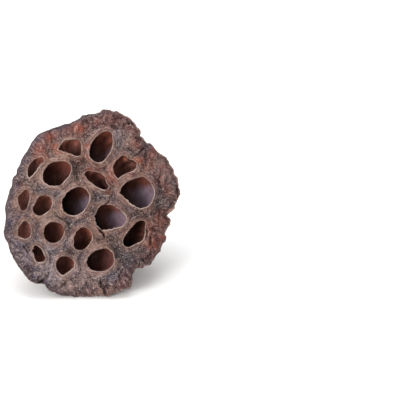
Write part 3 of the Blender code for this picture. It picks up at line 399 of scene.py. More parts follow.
class Skin:
    """Heights and masks of the face at points q."""

    def __init__(self):
        rim = closed_curve(to_face(RIM, -RIM_Z), RIM_COLUMNS)
        angle = np.arctan2(rim[:, 1], rim[:, 0])
        where = np.column_stack([rim, np.zeros(len(rim))])
        jagged = 0.10 + 0.26 * smooth((np.cos(angle - 0.3) + 0.35) / 0.9) + 0.12 * smooth((-np.sin(angle) - 0.2) / 0.7)
        self.rim = rim * (1 + jagged * (layered(where, 2.3, 3, 5, 0.6) - 0.25) / np.linalg.norm(rim, axis=1))[:, None]
        self.mouths = []
        for c in CELLS:
            curve = closed_curve(to_face(c), 96)
            n = 2 * round(length_of(curve) / MOUTH_STEP / 2)
            loop = closed_curve(to_face(c), n)
            # the lip is a little ragged
            out = np.roll(loop, -1, 0) - np.roll(loop, 1, 0)
            out = np.column_stack([out[:, 1], -out[:, 0]]) / np.linalg.norm(out, axis=1)[:, None]
            at = np.column_stack([loop, np.zeros(n)])
            where, much = TATTERED.get(len(self.mouths) + 1, (-150, 0.5))
            toward = out @ np.array([math.cos(math.radians(where)), math.sin(math.radians(where))])
            tattered = much * smooth(0.5 + 1.1 * noise(at, 6.5, 4)) * (0.15 + 0.85 * smooth(0.3 + 0.9 * toward))
            self.mouths.append(loop + out * (0.17 * layered(at, 2.2, 3, 3, 0.65) + 0.72 * tattered * np.clip(layered(at, 2.0, 2, 6, 0.8) - 0.1, -0.55, 0.8))[:, None])
        self.edge = self.rim * (1 - 0.8 / np.linalg.norm(self.rim, axis=1))[:, None]

    def base(self, q):
        z = plain_face(q) + 0.35 * np.sin(q[:, 0] * 0.11 + 0.6) * np.cos(q[:, 1] * 0.13 - 0.4) + 0.25 * np.sin(q[:, 0] * 0.23 - q[:, 1] * 0.19 + 1.3)
        return z - RIM_DROP * np.clip(1 - self.off_rim(q) / RIM_ROLL, 0, 1) ** 2

    def off_rim(self, q):
        return distance_to(self.rim, q, reach=14.0)

    def under(self, points):
        """Squares of the drawing as x, y on the skin, which drops towards the rim."""
        points = np.asarray(points, float) + [-0.4, 0.3]
        q = to_face(points)
        for _ in range(3):
            off = np.where(inside(self.rim, q), self.off_rim(q), 0.0)
            q = to_face(points, RIM_DROP * np.clip(1 - off / RIM_ROLL, 0, 1) ** 2)
        return q

    def patches(self, q, spots, heaped=False):
        """How much of a colour each point has: the most that a spot gives, or what they come to together."""
        out = np.zeros(len(q))
        for (x, y), s in zip(self.under([s[:2] for s in spots]), spots):
            one = s[3] * np.exp(-(((q[:, 0] - x) ** 2 + (q[:, 1] - y) ** 2) / (s[2] * SQUARE * 1.25) ** 2))
            out = 1 - (1 - out) * (1 - one) if heaped else np.maximum(out, one)
        return out

    def face(self, q):
        """Height of the skin at q, and a dict of masks."""
        nears = np.array([distance_to(m, q, reach=9.0) for m in self.mouths])
        near = nears.min(0)
        away = q - np.array([m.mean(0) for m in self.mouths])[nears.argmin(0)]
        away /= np.maximum(np.linalg.norm(away, axis=1), 1e-6)[:, None]
        bright = np.array([LIPS.get(k + 1, -0.08) for k in range(len(self.mouths))])[nears.argmin(0)]
        below = smooth((away @ np.array([0.45, -0.89]) + 0.45) / 1.1)
        off = self.off_rim(q)
        z = self.base(q)
        p = np.column_stack([q, z])
        border = smooth((9.5 - off) / 6.0)
        angle = np.arctan2(q[:, 1], q[:, 0])
        radius = np.linalg.norm(q, axis=1)
        way = q / np.maximum(radius, 1e-6)[:, None]
        right = smooth((np.cos(angle + 0.15) + 0.15) / 0.9)
        low = smooth((-np.sin(angle) - 0.2) / 0.7)
        left = smooth((np.cos(angle - 2.6) - 0.1) / 0.8)
        # lips, collars and the hollows between them
        bead = np.exp(-(((near - 0.28) / 0.34) ** 2))
        broken = np.clip(0.70 + 0.55 * noise(p, 3.1, 11) + 0.3 * noise(p, 1.4, 12), 0.1, 1.3)
        wide = 2.5 + 0.8 * noise(p, 11.0, 13)
        collar = np.exp(-((near / wide) ** 2))
        hollow = smooth((near - 1.7) / 3.0) * (1 - border)
        groove = np.exp(-(((near - 1.25 - 0.3 * noise(p, 6.0, 14)) / 0.42) ** 2))
        ring = np.column_stack([0.36 * q, 1.7 * near]) + 0.35 * np.column_stack([noise(p, 3.0, 15), noise(p, 3.0, 16), noise(p, 3.0, 17)])
        lines = layered(ring, 1.9, 2, 18, 0.6)
        height = 0.32 * bead * broken + 0.72 * collar - 0.85 * hollow - 0.14 * groove * (1 - border) + 0.17 * lines * np.exp(-((near / 3.4) ** 2))
        # wrinkles: long ones that run outwards in the border, finer ones all over
        spread = np.column_stack([36.0 * way, 0.36 * radius]) + np.column_stack([2.0 * noise(p, 7.0, 21), 2.0 * noise(p, 7.0, 22), 0.8 * noise(p, 7.0, 20)])
        long_fold = creased(spread, 5.4, 23)
        mid_fold = creased(p + 0.9 * np.column_stack([noise(p, 3.5, 24), noise(p, 3.5, 25), 0 * z]), 4.6, 26)
        fine_fold = creased(p + 0.4 * np.column_stack([noise(p, 1.9, 34), noise(p, 1.9, 35), 0 * z]), 2.3, 27)
        lumps = layered(p, 6.5, 2, 28)
        knobs = layered(p, 3.0, 2, 36)
        grain = layered(p, 1.5, 2, 29)
        upper = smooth((np.sin(angle) - 0.2) / 0.6)
        rugged = np.maximum(np.maximum(right, 0.85 * low), 0.42 * upper * (1 - left))
        rough = 0.45 + border * (0.80 * rugged - 0.64 * right - 0.22 * left) + 0.58 * hollow
        fold_room = border * (0.35 + 0.95 * rugged) * (1 - 0.6 * left) * (1 - 0.55 * right)
        calm = 1 - 0.75 * np.exp(-((near / 0.9) ** 2))
        detail = calm * (
            0.95 * fold_room * (smooth(long_fold * 1.5) - 0.72)
            + 0.42 * rough * (smooth(mid_fold * 1.4) - 0.75)
            + 0.18 * rough * (smooth(fine_fold * 1.6) - 0.7)
            + 0.34 * rough * knobs
            + 0.14 * rough * grain
            + 0.22 * rough * lumps
        )
        height += detail + calm * 0.30 * rough * lumps
        for (x, y), spot in zip(self.under([w[:2] for w in SWELLS]), SWELLS):
            height += spot[3] * calm * np.exp(-(((q[:, 0] - x) ** 2 + (q[:, 1] - y) ** 2) / (spot[2] * SQUARE * 1.1) ** 2))
        # the border's outer edge puckers
        pucker = np.exp(-((off / 1.6) ** 2))
        height += pucker * 0.40 * noise(p, 3.4, 31) * (0.4 + 0.6 * rugged)
        cracks = np.zeros(len(q))
        for line, width, depth, dark in CRACKS:
            d = distance_to(self.under(line), q + 0.35 * np.column_stack([noise(p, 1.8, 41), noise(p, 1.8, 42)]), closed=False, reach=4 * width)
            cut = np.exp(-((d / width) ** 2))
            height += depth * (0.35 * np.exp(-(((d - 2.2 * width) / width) ** 2)) * (d < 4 * width) - cut)
            cracks = np.maximum(cracks, dark * np.exp(-((d / width) ** 3)))
        for x, y, width, depth in PITS:
            c = self.under([(x, y)])[0]
            cut = np.exp(-((np.linalg.norm(q - c, axis=1) / width) ** 4))
            height -= depth * cut
            cracks = np.maximum(cracks, cut)
        torn, dust = np.zeros(len(q)), np.zeros(len(q))
        for x, y, width, depth, dark in NICKS:
            cut = np.exp(-((round_from(angle, x, y) * radius / width) ** 2) - (off / 2.4) ** 2)
            height -= depth * cut
            cracks = np.maximum(cracks, dark * cut)
        for c in self.under(TORN):
            torn = np.maximum(torn, np.exp(-((np.linalg.norm((q - c) * [1.0, 1.5], axis=1) / 0.36) ** 2)))
        height += 0.5 * torn
        for c in self.under(DUST):
            dust = np.maximum(dust, np.exp(-((np.linalg.norm((q - c) * [1.0, 1.3], axis=1) / 0.24) ** 2)))
        masks = {
            "lip": np.exp(-(((near - 0.16) / 0.26) ** 2)) * np.clip(0.64 + bright * below + 0.9 * noise(p, 4.5, 51) + 0.6 * noise(p, 1.5, 52), 0, 1) * (0.30 + 0.70 * below),
            "groove": groove * smooth(0.35 + 1.1 * noise(p, 6.0, 55)) * (1 - border),
            "collar": smooth((wide + 0.7 - near) / 1.5) * np.clip(0.80 + 0.6 * noise(p, 6.0, 53), 0, 1),
            "hollow": hollow,
            "border": border,
            "fold": np.clip(1 - 1.1 * (fold_room * (1 - smooth(long_fold * 1.7)) + 0.40 * rough * (1 - smooth(mid_fold * 2.2)) + 0.14 * rough * (1 - smooth(fine_fold * 2.4))), 0, 1),
            "crest": np.clip(0.5 + 0.9 * detail, 0, 1),
            "crack": cracks,
            "orange": self.patches(q, ORANGE),
            "grey": self.patches(q, GREY),
            "pale": self.patches(q, PALE),
            "tan": self.patches(q, TAN),
            "mauve": self.patches(q, MAUVE),
            "blue": self.patches(q, BLUE),
            "rose": self.patches(q, ROSE),
            "shade": self.patches(q, SHADE, heaped=True),
            "left": left * border,
            # edge: a grey band along the upper-left rim, partly its colour and partly painted shade; brink: painted
            # shade along the left rim where it turns away
            "edge": smooth((4.6 - off + 0.9 * noise(p, 8.0, 54)) / 2.6) * smooth((np.cos(angle - 2.75) + 0.15) / 0.5),
            "brink": np.exp(-((off / 1.5) ** 2)) * smooth((np.cos(angle - 2.9) + 0.30) / 0.5),
            "right": right * border,
            "low": low * border,
            # the rim's edge lighter towards the upper right: partly wear and partly a painted highlight
            "worn": np.exp(-((off / 1.0) ** 2)) * (0.15 + 0.85 * smooth((np.cos(angle - 0.45) - 0.45) / 0.4)),
            "torn": torn,
            "dust": dust,
        }
        return z + height, masks, ring, spread


MASKS = ["lip", "groove", "collar", "hollow", "border", "fold", "crest", "crack", "orange", "rose", "grey", "blue", "pale", "tan", "mauve", "shade", "brink", "left", "edge", "right", "low", "worn", "torn", "dust", "cell", "deep", "bloom", "lit", "light", "side", "rib", "streak"]
FLOWS = ["flow", "ring", "spread"]


class Builder:
    """Gathers points, masks and triangles."""

    def __init__(self):
        self.points, self.masks, self.flows, self.triangles, self.count = [], {k: [] for k in MASKS}, {k: [] for k in FLOWS}, [], 0

    def add(self, points, **masks):
        n = len(points)
        first = self.count
        self.points.append(np.asarray(points, float))
        for k in FLOWS:
            self.flows[k].append(np.asarray(masks.get(k, points), float))
        for k in MASKS:
            v = masks.get(k, 0.0)
            self.masks[k].append(np.broadcast_to(np.asarray(v, float), (n,)).copy())
        self.count += n
        return np.arange(first, first + n)

    def band(self, a, b, flip=False):
        """Triangles between ring a and the ring b below it, which has as many points or half as many. On a counterclockwise ring seen from outside above they face out; flip turns them in."""
        n, m = len(a), len(b)
        if m == n:
            i, j = np.arange(n), (np.arange(n) + 1) % n
            t = np.vstack([np.column_stack([a[i], b[i], b[j]]), np.column_stack([a[i], b[j], a[j]])])
        else:
            i = np.arange(m)
            j = (i + 1) % m
            a0, a1, a2 = a[2 * i], a[(2 * i + 1) % n], a[(2 * i + 2) % n]
            t = np.vstack([np.column_stack([a0, b[i], a1]), np.column_stack([a1, b[i], b[j]]), np.column_stack([a1, b[j], a2])])
        self.triangles.append(t[:, ::-1] if flip else t)

    def cap(self, ring, tip, flip=False):
        i, j = np.arange(len(ring)), (np.arange(len(ring)) + 1) % len(ring)
        t = np.column_stack([ring[i], np.full(len(ring), tip), ring[j]])
        self.triangles.append(t[:, ::-1] if flip else t)

    def mesh(self, name):
        points, triangles = laid_down(np.vstack(self.points)), np.vstack(self.triangles)
        mesh = bpy.data.meshes.new(name)
        mesh.vertices.add(len(points))
        mesh.vertices.foreach_set("co", points.astype(np.float32).ravel())
        mesh.loops.add(triangles.size)
        mesh.loops.foreach_set("vertex_index", triangles.astype(np.int32).ravel())
        mesh.polygons.add(len(triangles))
        mesh.polygons.foreach_set("loop_start", np.arange(0, triangles.size, 3, dtype=np.int32))
        mesh.update(calc_edges=True)
        mesh.polygons.foreach_set("use_smooth", np.ones(len(triangles), bool))
        for k in MASKS:
            mesh.attributes.new(k, "FLOAT", "POINT").data.foreach_set("value", np.concatenate(self.masks[k]).astype(np.float32))
        for k in FLOWS:
            mesh.attributes.new(k, "FLOAT_VECTOR", "POINT").data.foreach_set("vector", np.vstack(self.flows[k]).astype(np.float32).ravel())
        mesh.validate()
        print(name, len(points), "points", len(triangles), "triangles")
        return mesh


def offset_ring(loop, away):
    """The points of a closed loop moved away mm to its right, which is outwards when it runs counterclockwise."""
    along = np.roll(loop, -1, 0) - np.roll(loop, 1, 0)
    out = np.column_stack([along[:, 1], -along[:, 0]]) / np.linalg.norm(along, axis=1)[:, None]
    return loop + out * away


def receptacle():
    skin, b = Skin(), Builder()
    rng = np.random.default_rng(11)
    # ---- the face
    loops = [skin.edge, *skin.mouths]
    extra = []
    for k, m in enumerate(skin.mouths):
        others = [o for i, o in enumerate(skin.mouths) if i != k]
        for away in (0.24, 0.50, 0.80, 1.16, 1.58):
            ring = offset_ring(m, away)
            if away > 1:
                ring = ring[::1]
            keep = (distance_to(m, ring) > away * 0.93) & ~inside(m, ring)
            keep &= np.min([distance_to(o, ring, reach=4.0) for o in others], axis=0) > away * 0.98
            keep &= distance_to(skin.edge, ring, reach=3.0) > 0.7
            extra.append(ring[keep])
    for away in (0.35, 0.75, 1.2, 1.7):
        ring = offset_ring(skin.edge, -away)
        keep = (distance_to(skin.edge, ring) > away * 0.9) & inside(skin.edge, ring)
        keep &= np.min([distance_to(o, ring, reach=4.0) for o in skin.mouths], axis=0) > 1.7
        extra.append(ring[keep])
    step = FACE_STEP
    grid = np.array([(x + (0.5 * step if row % 2 else 0), y) for row, y in enumerate(np.arange(-58, 58, step * 0.866)) for x in np.arange(-58, 58, step)])
    grid += rng.uniform(-0.09, 0.09, grid.shape)
    keep = inside(skin.edge, grid)
    grid = grid[keep]
    keep = distance_to(skin.edge, grid, reach=3.0) > 1.95
    for m in skin.mouths:
        keep &= ~inside(m, grid) & (distance_to(m, grid, reach=3.0) > 1.80)
    flat = np.vstack([*loops, *extra, grid[keep]])
    ties, first = [], 0
    for loop in loops:
        n = len(loop)
        ties += [(first + i, first + (i + 1) % n) for i in range(n)]
        first += n
    _, _, triangles, origin, _, _ = geometry.delaunay_2d_cdt([Vector(p) for p in flat], ties, [], 1, 1e-6)
    back = np.array([o[0] for o in origin])
    triangles = back[np.array(triangles)]
    middle = flat[triangles].mean(1)
    hole = np.any([inside(m, middle) for m in skin.mouths], axis=0)
    triangles = triangles[~hole]
    u, v, w = (flat[triangles[:, k]] for k in range(3))
    turn = (v[:, 0] - u[:, 0]) * (w[:, 1] - u[:, 1]) - (v[:, 1] - u[:, 1]) * (w[:, 0] - u[:, 0])
    triangles[turn < 0] = triangles[turn < 0][:, ::-1]
    z, masks, round_cells, outwards = skin.face(flat)
    face = np.column_stack([flat, z])
    b.add(face, ring=round_cells, spread=outwards, **masks)
    b.triangles.append(triangles)
    # ---- the cells
    first = len(skin.edge)
    for number, (mouth, depth) in enumerate(zip(skin.mouths, CELL_DEPTHS), 1):
        n = len(mouth)
        ring = np.arange(first, first + n)
        first += n
        cell(b, face[ring], ring, depth, number)
    side(b, skin, face[: len(skin.edge)])
    return b


def cell(b, top, ring, depth, number):
    """A smooth cup under its lip, leaning towards the stalk."""
    n = len(ring)
    centre = top.mean(0)
    lean = (CELL_AIM - centre) / np.linalg.norm(CELL_AIM - centre)
    offset = top[:, :2] - centre[:2]
    round_r = np.linalg.norm(offset, axis=1).mean()
    angle = np.arctan2(offset[:, 1], offset[:, 0])
    outward = offset / np.linalg.norm(offset, axis=1)[:, None]
    circle = outward * round_r
    sheen_way, sheen_from, sheen_full, stop, gone, sheen_much = BLOOM_AND_SHEEN.get(number, (0, 0, 1, 0, 1, 0.0))
    sheen_way = np.array([math.cos(math.radians(sheen_way)), math.sin(math.radians(sheen_way))])
    lit_way, lit_much, light, far_wall_shade, bottom_shade = CELL_LOOK[number]
    shade_way = math.radians(PAINTED_SHADE_WAY.get(number, lit_way + 180))
    shade_way = np.array([math.cos(shade_way), math.sin(shade_way)])
    lit_way = np.array([math.cos(math.radians(lit_way)), math.sin(math.radians(lit_way))])

    def beyond(degrees):
        """How far round each wall point is past a direction, in degrees from -180 to 180."""
        return (np.degrees(angle) - degrees + 180) % 360 - 180

    def width(share):
        return math.sqrt(max(0.0, 1 - (max(share - 0.12, 0) / 0.88) ** 2.6)) * (1 + CELL_BELLY * float(smooth(share / 0.3)))

    fine = np.linspace(0, 1, 400)
    line = np.column_stack([[width(s) * round_r for s in fine], fine * depth])
    run = np.concatenate([[0], np.cumsum(np.linalg.norm(np.diff(line, axis=0), axis=1))])
    rings = max(8, round(run[-1] / CELL_STEP))
    shares = [0.25 / depth, 0.6 / depth, 1.1 / depth] + list(np.interp(np.linspace(2.0, run[-1] - 0.8, rings), run, fine))
    pick = np.arange(n)
    for k, share in enumerate(shares):
        if k == 3:
            pick = pick[::2]
        if k == len(shares) - 4:
            if len(pick) % 2 == 0:
                pick = pick[::2]
        blend = float(smooth(share / 0.8)) * 0.5
        tuck = 0.30 * float(smooth(share * depth / 0.9)) - 0.05 * math.exp(-((share * depth / 0.3) ** 2))
        xy = centre[:2] + lean[:2] * depth * share + ((1 - blend) * offset[pick] + blend * circle[pick]) * width(share) + outward[pick] * tuck
        z = top[pick, 2] * (1 - share) + (centre[2] + lean[2] * depth) * share
        p = np.column_stack([xy, z])
        calm = float(smooth(share * depth / 2.0))
        p[:, :2] += outward[pick] * (calm * (0.16 * noise(p, 4.2, 61) + 0.05 * noise(p * [1, 1, 0.35], 1.3, 62)))[:, None]
        ridge_light_and_shade = np.zeros(len(pick))
        for turned, across, rise, high, deep in RIDGES.get(number, []):
            on = float(smooth((share - high + 0.05) / 0.15) * smooth((deep + 0.1 - share) / 0.3))
            beside = beyond(turned + 25 * (share - 0.4))[pick]
            crest = np.exp(-((beside / across) ** 2))
            p[:, :2] -= outward[pick] * (rise * on * crest)[:, None]
            # painted light on each ridge's crest and painted shade beside it
            ridge_light_and_shade += on * min(1.0, rise * 1.4) * (0.45 * crest - 0.55 * np.exp(-(((np.abs(beside) - 1.9 * across) / across) ** 2)))
        place = (xy - centre[:2] - lean[:2] * depth * share) / round_r
        wander = 0.10 * noise(p, 4.0, 63) + 0.04 * noise(p, 1.5, 64)
        # the waxy bloom, partly a painted sheen, on one side of the wall
        bloom = sheen_much * smooth((place @ sheen_way + wander - sheen_from) / (sheen_full - sheen_from)) * smooth((gone - place[:, 1] - wander) / (gone - stop)) * float(smooth((share - 0.02) / 0.10))
        # painted light on the wall that faces the light
        lit = lit_much * smooth((place @ lit_way + 0.25 + 0.20 * noise(p, 4.0, 65)) / 1.05) * (1 - 0.5 * share)
        lighter = 1 + (light - 1) * (0.12 + 0.88 * float(smooth(share / 0.42))) if light > 1 else light
        # painted shade just under the lip
        under = 0.45 + 0.55 * float(smooth((share * depth - 0.2) / 1.9))
        # light: the painted light and shade of the wall: how light the cell is painted, the shade under the lip, on the
        # far wall and at the bottom, and the ridges
        down = b.add(p, cell=float(smooth(share * depth / 0.42)), deep=share, bloom=bloom, lit=lit, light=lighter * under * (1 - far_wall_shade * smooth((0.35 + place @ shade_way) / 0.8)) * (1 - bottom_shade * float(smooth((share - 0.25) / 0.3))) * np.clip(1 + ridge_light_and_shade, 0.3, 1.6), lip=(0.85 * math.exp(-((share * depth / 0.30) ** 2))) * (0.3 + 0.7 * smooth(0.5 - outward[pick, 1])), collar=1.0, fold=1.0, crest=0.5)
        b.band(ring, down, flip=True)
        ring = down
    tip = b.add(
        [centre + lean * depth], cell=1.0, deep=1.0, light=light * (1 - far_wall_shade * float(smooth(0.35 / 0.8))) * (1 - bottom_shade), collar=1.0, fold=1.0, crest=0.5, lit=lit_much * float(smooth(0.25 / 1.05)) * 0.5,
        bloom=sheen_much * float(smooth(-sheen_from / (sheen_full - sheen_from)) * smooth(gone / (gone - stop))),
    )[0]
    b.cap(ring, tip, flip=True)


def rib(angle):
    bend = angle + 0.09 * np.sin(3 * angle + 0.7) + 0.05 * np.sin(7 * angle + 2.1)
    strong = 0.62 + 0.38 * np.sin(5 * angle + 0.4)
    return strong * np.cos(RIBS * bend) + 0.35 * np.cos(11 * bend + 1.1), strong * np.cos(RIBS * bend), bend


def side(b, skin, edge3):
    """The rolled rim, the ribbed cone and the neck."""
    rim = skin.rim
    n = len(rim)
    angle = np.arctan2(rim[:, 1], rim[:, 0])
    across = np.linalg.norm(rim, axis=1)
    wavy = np.fft.rfft(across)
    wavy[26:] = 0
    calm_across = np.fft.irfft(wavy, n)
    mean_radius = float(across.mean())
    border = wave(angle)
    ribs, sharp, bend = rib(angle)
    right = smooth((np.cos(angle + 0.15) + 0.15) / 0.9)
    low = smooth((-np.sin(angle) - 0.2) / 0.7)
    left = smooth((np.cos(angle - 2.6) - 0.1) / 0.8)
    ring = np.arange(n)
    way = np.column_stack([np.cos(angle), np.sin(angle)])
    ragged = 0.35 + 0.65 * np.maximum(right, low)
    # the grey band and the painted shade along the left rim carry on down the roll
    edge_left = smooth((np.cos(angle - 2.75) + 0.15) / 0.5)
    # the rim's edge lighter towards the upper right: partly wear and partly a painted highlight
    light_rim = 0.15 + 0.85 * smooth((np.cos(angle - 0.45) - 0.45) / 0.4)

    def place(pick, r, z, out, up, share, s_down):
        """A row of the side: base radius and height, the way its skin faces, and how far down it is."""
        base = np.column_stack([way[pick] * r[:, None], z])
        flow = np.column_stack([way[pick] * 34.0, 0.10 * z])
        flow = flow + 0.9 * np.column_stack([noise(base, 16.0, 71), noise(base, 16.0, 72), 0 * z])
        down = float(smooth(s_down / 7.0))
        skin_ends = smooth((s_down - 0.5 + 3.0 * noise(flow, 4.0, 78) + 1.5 * noise(flow, 1.6, 79)) / 8.0) if s_down > 0 else 0.0
        rows_rough = ragged[pick] * (1 - 0.7 * down)
        streak = layered(flow, 3.2, 3, 73, 0.6)
        crease = creased(flow, 5.2, 74)
        pleat = np.cos(11 * bend[pick] + 1.1 + 0.5 * noise(flow, 20.0, 77))
        sharp_pleat = smooth((-pleat - 0.72) / 0.24)
        skirt = math.exp(-(((s_down - 2.2) / 2.6) ** 2))
        h = 0.17 * rows_rough * layered(base, 1.5, 2, 29) + 0.26 * rows_rough * layered(base, 5.5, 2, 28)
        h += down * min(1.0, share * 1.8) * (0.26 * streak - 0.40 * (1 - smooth(crease * 2.2)) - 0.35 * smooth((-sharp[pick] - 0.25) / 0.6) - 0.9 * sharp_pleat)
        h += skirt * (0.45 * noise(np.column_stack([way[pick] * 45.0, 0.45 * z]), 3.0, 75) + 0.2 * noise(base, 1.6, 76)) * (0.5 + 0.5 * ragged[pick])
        nick = np.zeros(len(pick))
        if s_down < 6:
            for x, y, width, depth, dark in NICKS:
                cut = np.exp(-((round_from(angle[pick], x, y) * r / width) ** 2)) * math.exp(-((max(s_down + 1.0, 0) / 2.0) ** 2))
                h = h - depth * cut
                nick = np.maximum(nick, dark * cut)
        p = base + np.column_stack([way[pick] * (out * h)[:, None], up * h])
        fold = np.clip(1 - 0.55 * down * (1 - smooth(crease * 2.6)) - 0.25 * down * smooth((-sharp[pick] - 0.3) / 0.6) - 0.9 * down * sharp_pleat, 0, 1)
        return b.add(
            p, flow=flow, spread=flow, side=skin_ends, deep=1.0 - share, fold=fold, crest=np.clip(0.5 + 0.9 * h, 0, 1), rib=sharp[pick], streak=streak, border=1.0 - down, left=left[pick] * (1 - down), right=right[pick] * (1 - down),
            crack=nick, low=low[pick] * (1 - down), edge=(1 - down) * edge_left[pick], brink=smooth((np.cos(angle[pick] - 2.9) + 0.30) / 0.5) * (1 - down), worn=light_rim[pick] * math.exp(-(((s_down + 0.6) / 1.3) ** 2)),
        )

    # the roll, from the face's edge to the widest line
    pick = np.arange(n)
    for t in (0.3, 0.6, 0.85):
        r = across - 0.8 * (1 - math.sin(t * math.pi / 2))
        z = edge3[:, 2] * (1 - t**1.25) + (RIM_Z + border) * t**1.25
        now = place(pick, r, z, math.sin(t * math.pi / 2), math.cos(t * math.pi / 2), 1.0, 2.0 * (t - 1))
        b.band(ring, now)
        ring = now
    # the cone: rows along a smooth line through the CAD model's rows
    table = np.array(CONE)
    reach = np.concatenate([[0], np.cumsum(np.hypot(np.diff(table[:, 0]), np.diff(table[:, 1]) * mean_radius))])
    slope = np.gradient(table, reach, axis=0)

    def along(s):
        i = int(np.clip(np.searchsorted(reach, s) - 1, 0, len(reach) - 2))
        h = reach[i + 1] - reach[i]
        k = (s - reach[i]) / h
        value = (2 * k**3 - 3 * k**2 + 1) * table[i] + (k**3 - 2 * k**2 + k) * h * slope[i] + (3 * k**2 - 2 * k**3) * table[i + 1] + (k**3 - k**2) * h * slope[i + 1]
        return value

    stops = list(np.arange(0, 7.0, 0.55)) + list(np.arange(7.0, reach[-1] - 6, 0.95)) + list(np.arange(reach[-1] - 6, reach[-1] - 0.4, 0.7)) + [reach[-1]]
    for row, s in enumerate(stops):
        z0, share = along(s)
        ahead, behind = along(min(s + 0.4, reach[-1])), along(max(s - 0.4, 0))
        run = np.array([(ahead[1] - behind[1]) * mean_radius, ahead[0] - behind[0]])
        run /= np.linalg.norm(run)
        out, up = -run[1], run[0]
        if row == 13:
            pick = pick[::2]
        if s > reach[-1] * 0.72 and len(pick) == n // 2:
            pick = pick[::2]
        swing = float(np.interp(RIM_Z - z0, [0, 2.2, 4.3, 9.0], [0.0, 0.25, 0.48, 1.0]))
        fade = 0.55 + 0.45 * float(smooth((z0 - NECK_Z) / 14))
        neck = float(smooth((z0 - NECK_Z) / 2.0))
        circle = float(smooth((RIM_Z - z0) / (RIM_Z - NECK_Z))) ** 1.3
        wide = (1 - float(smooth(s / 6.0))) * across[pick] + float(smooth(s / 6.0)) * calm_across[pick]
        r = share * ((1 - circle) * wide + circle * mean_radius) + 0.95 * swing * fade * neck * ribs[pick] * min(1.0, share * 1.6)
        z = np.full(len(pick), z0) + border[pick] * (1 - circle) ** 2
        now = place(pick, r, z, out, up, share, s)
        b.band(ring, now)
        ring = now
    tip = b.add([(0, 0, NECK_Z)], side=1.0, fold=1.0)[0]
    b.cap(ring, tip)


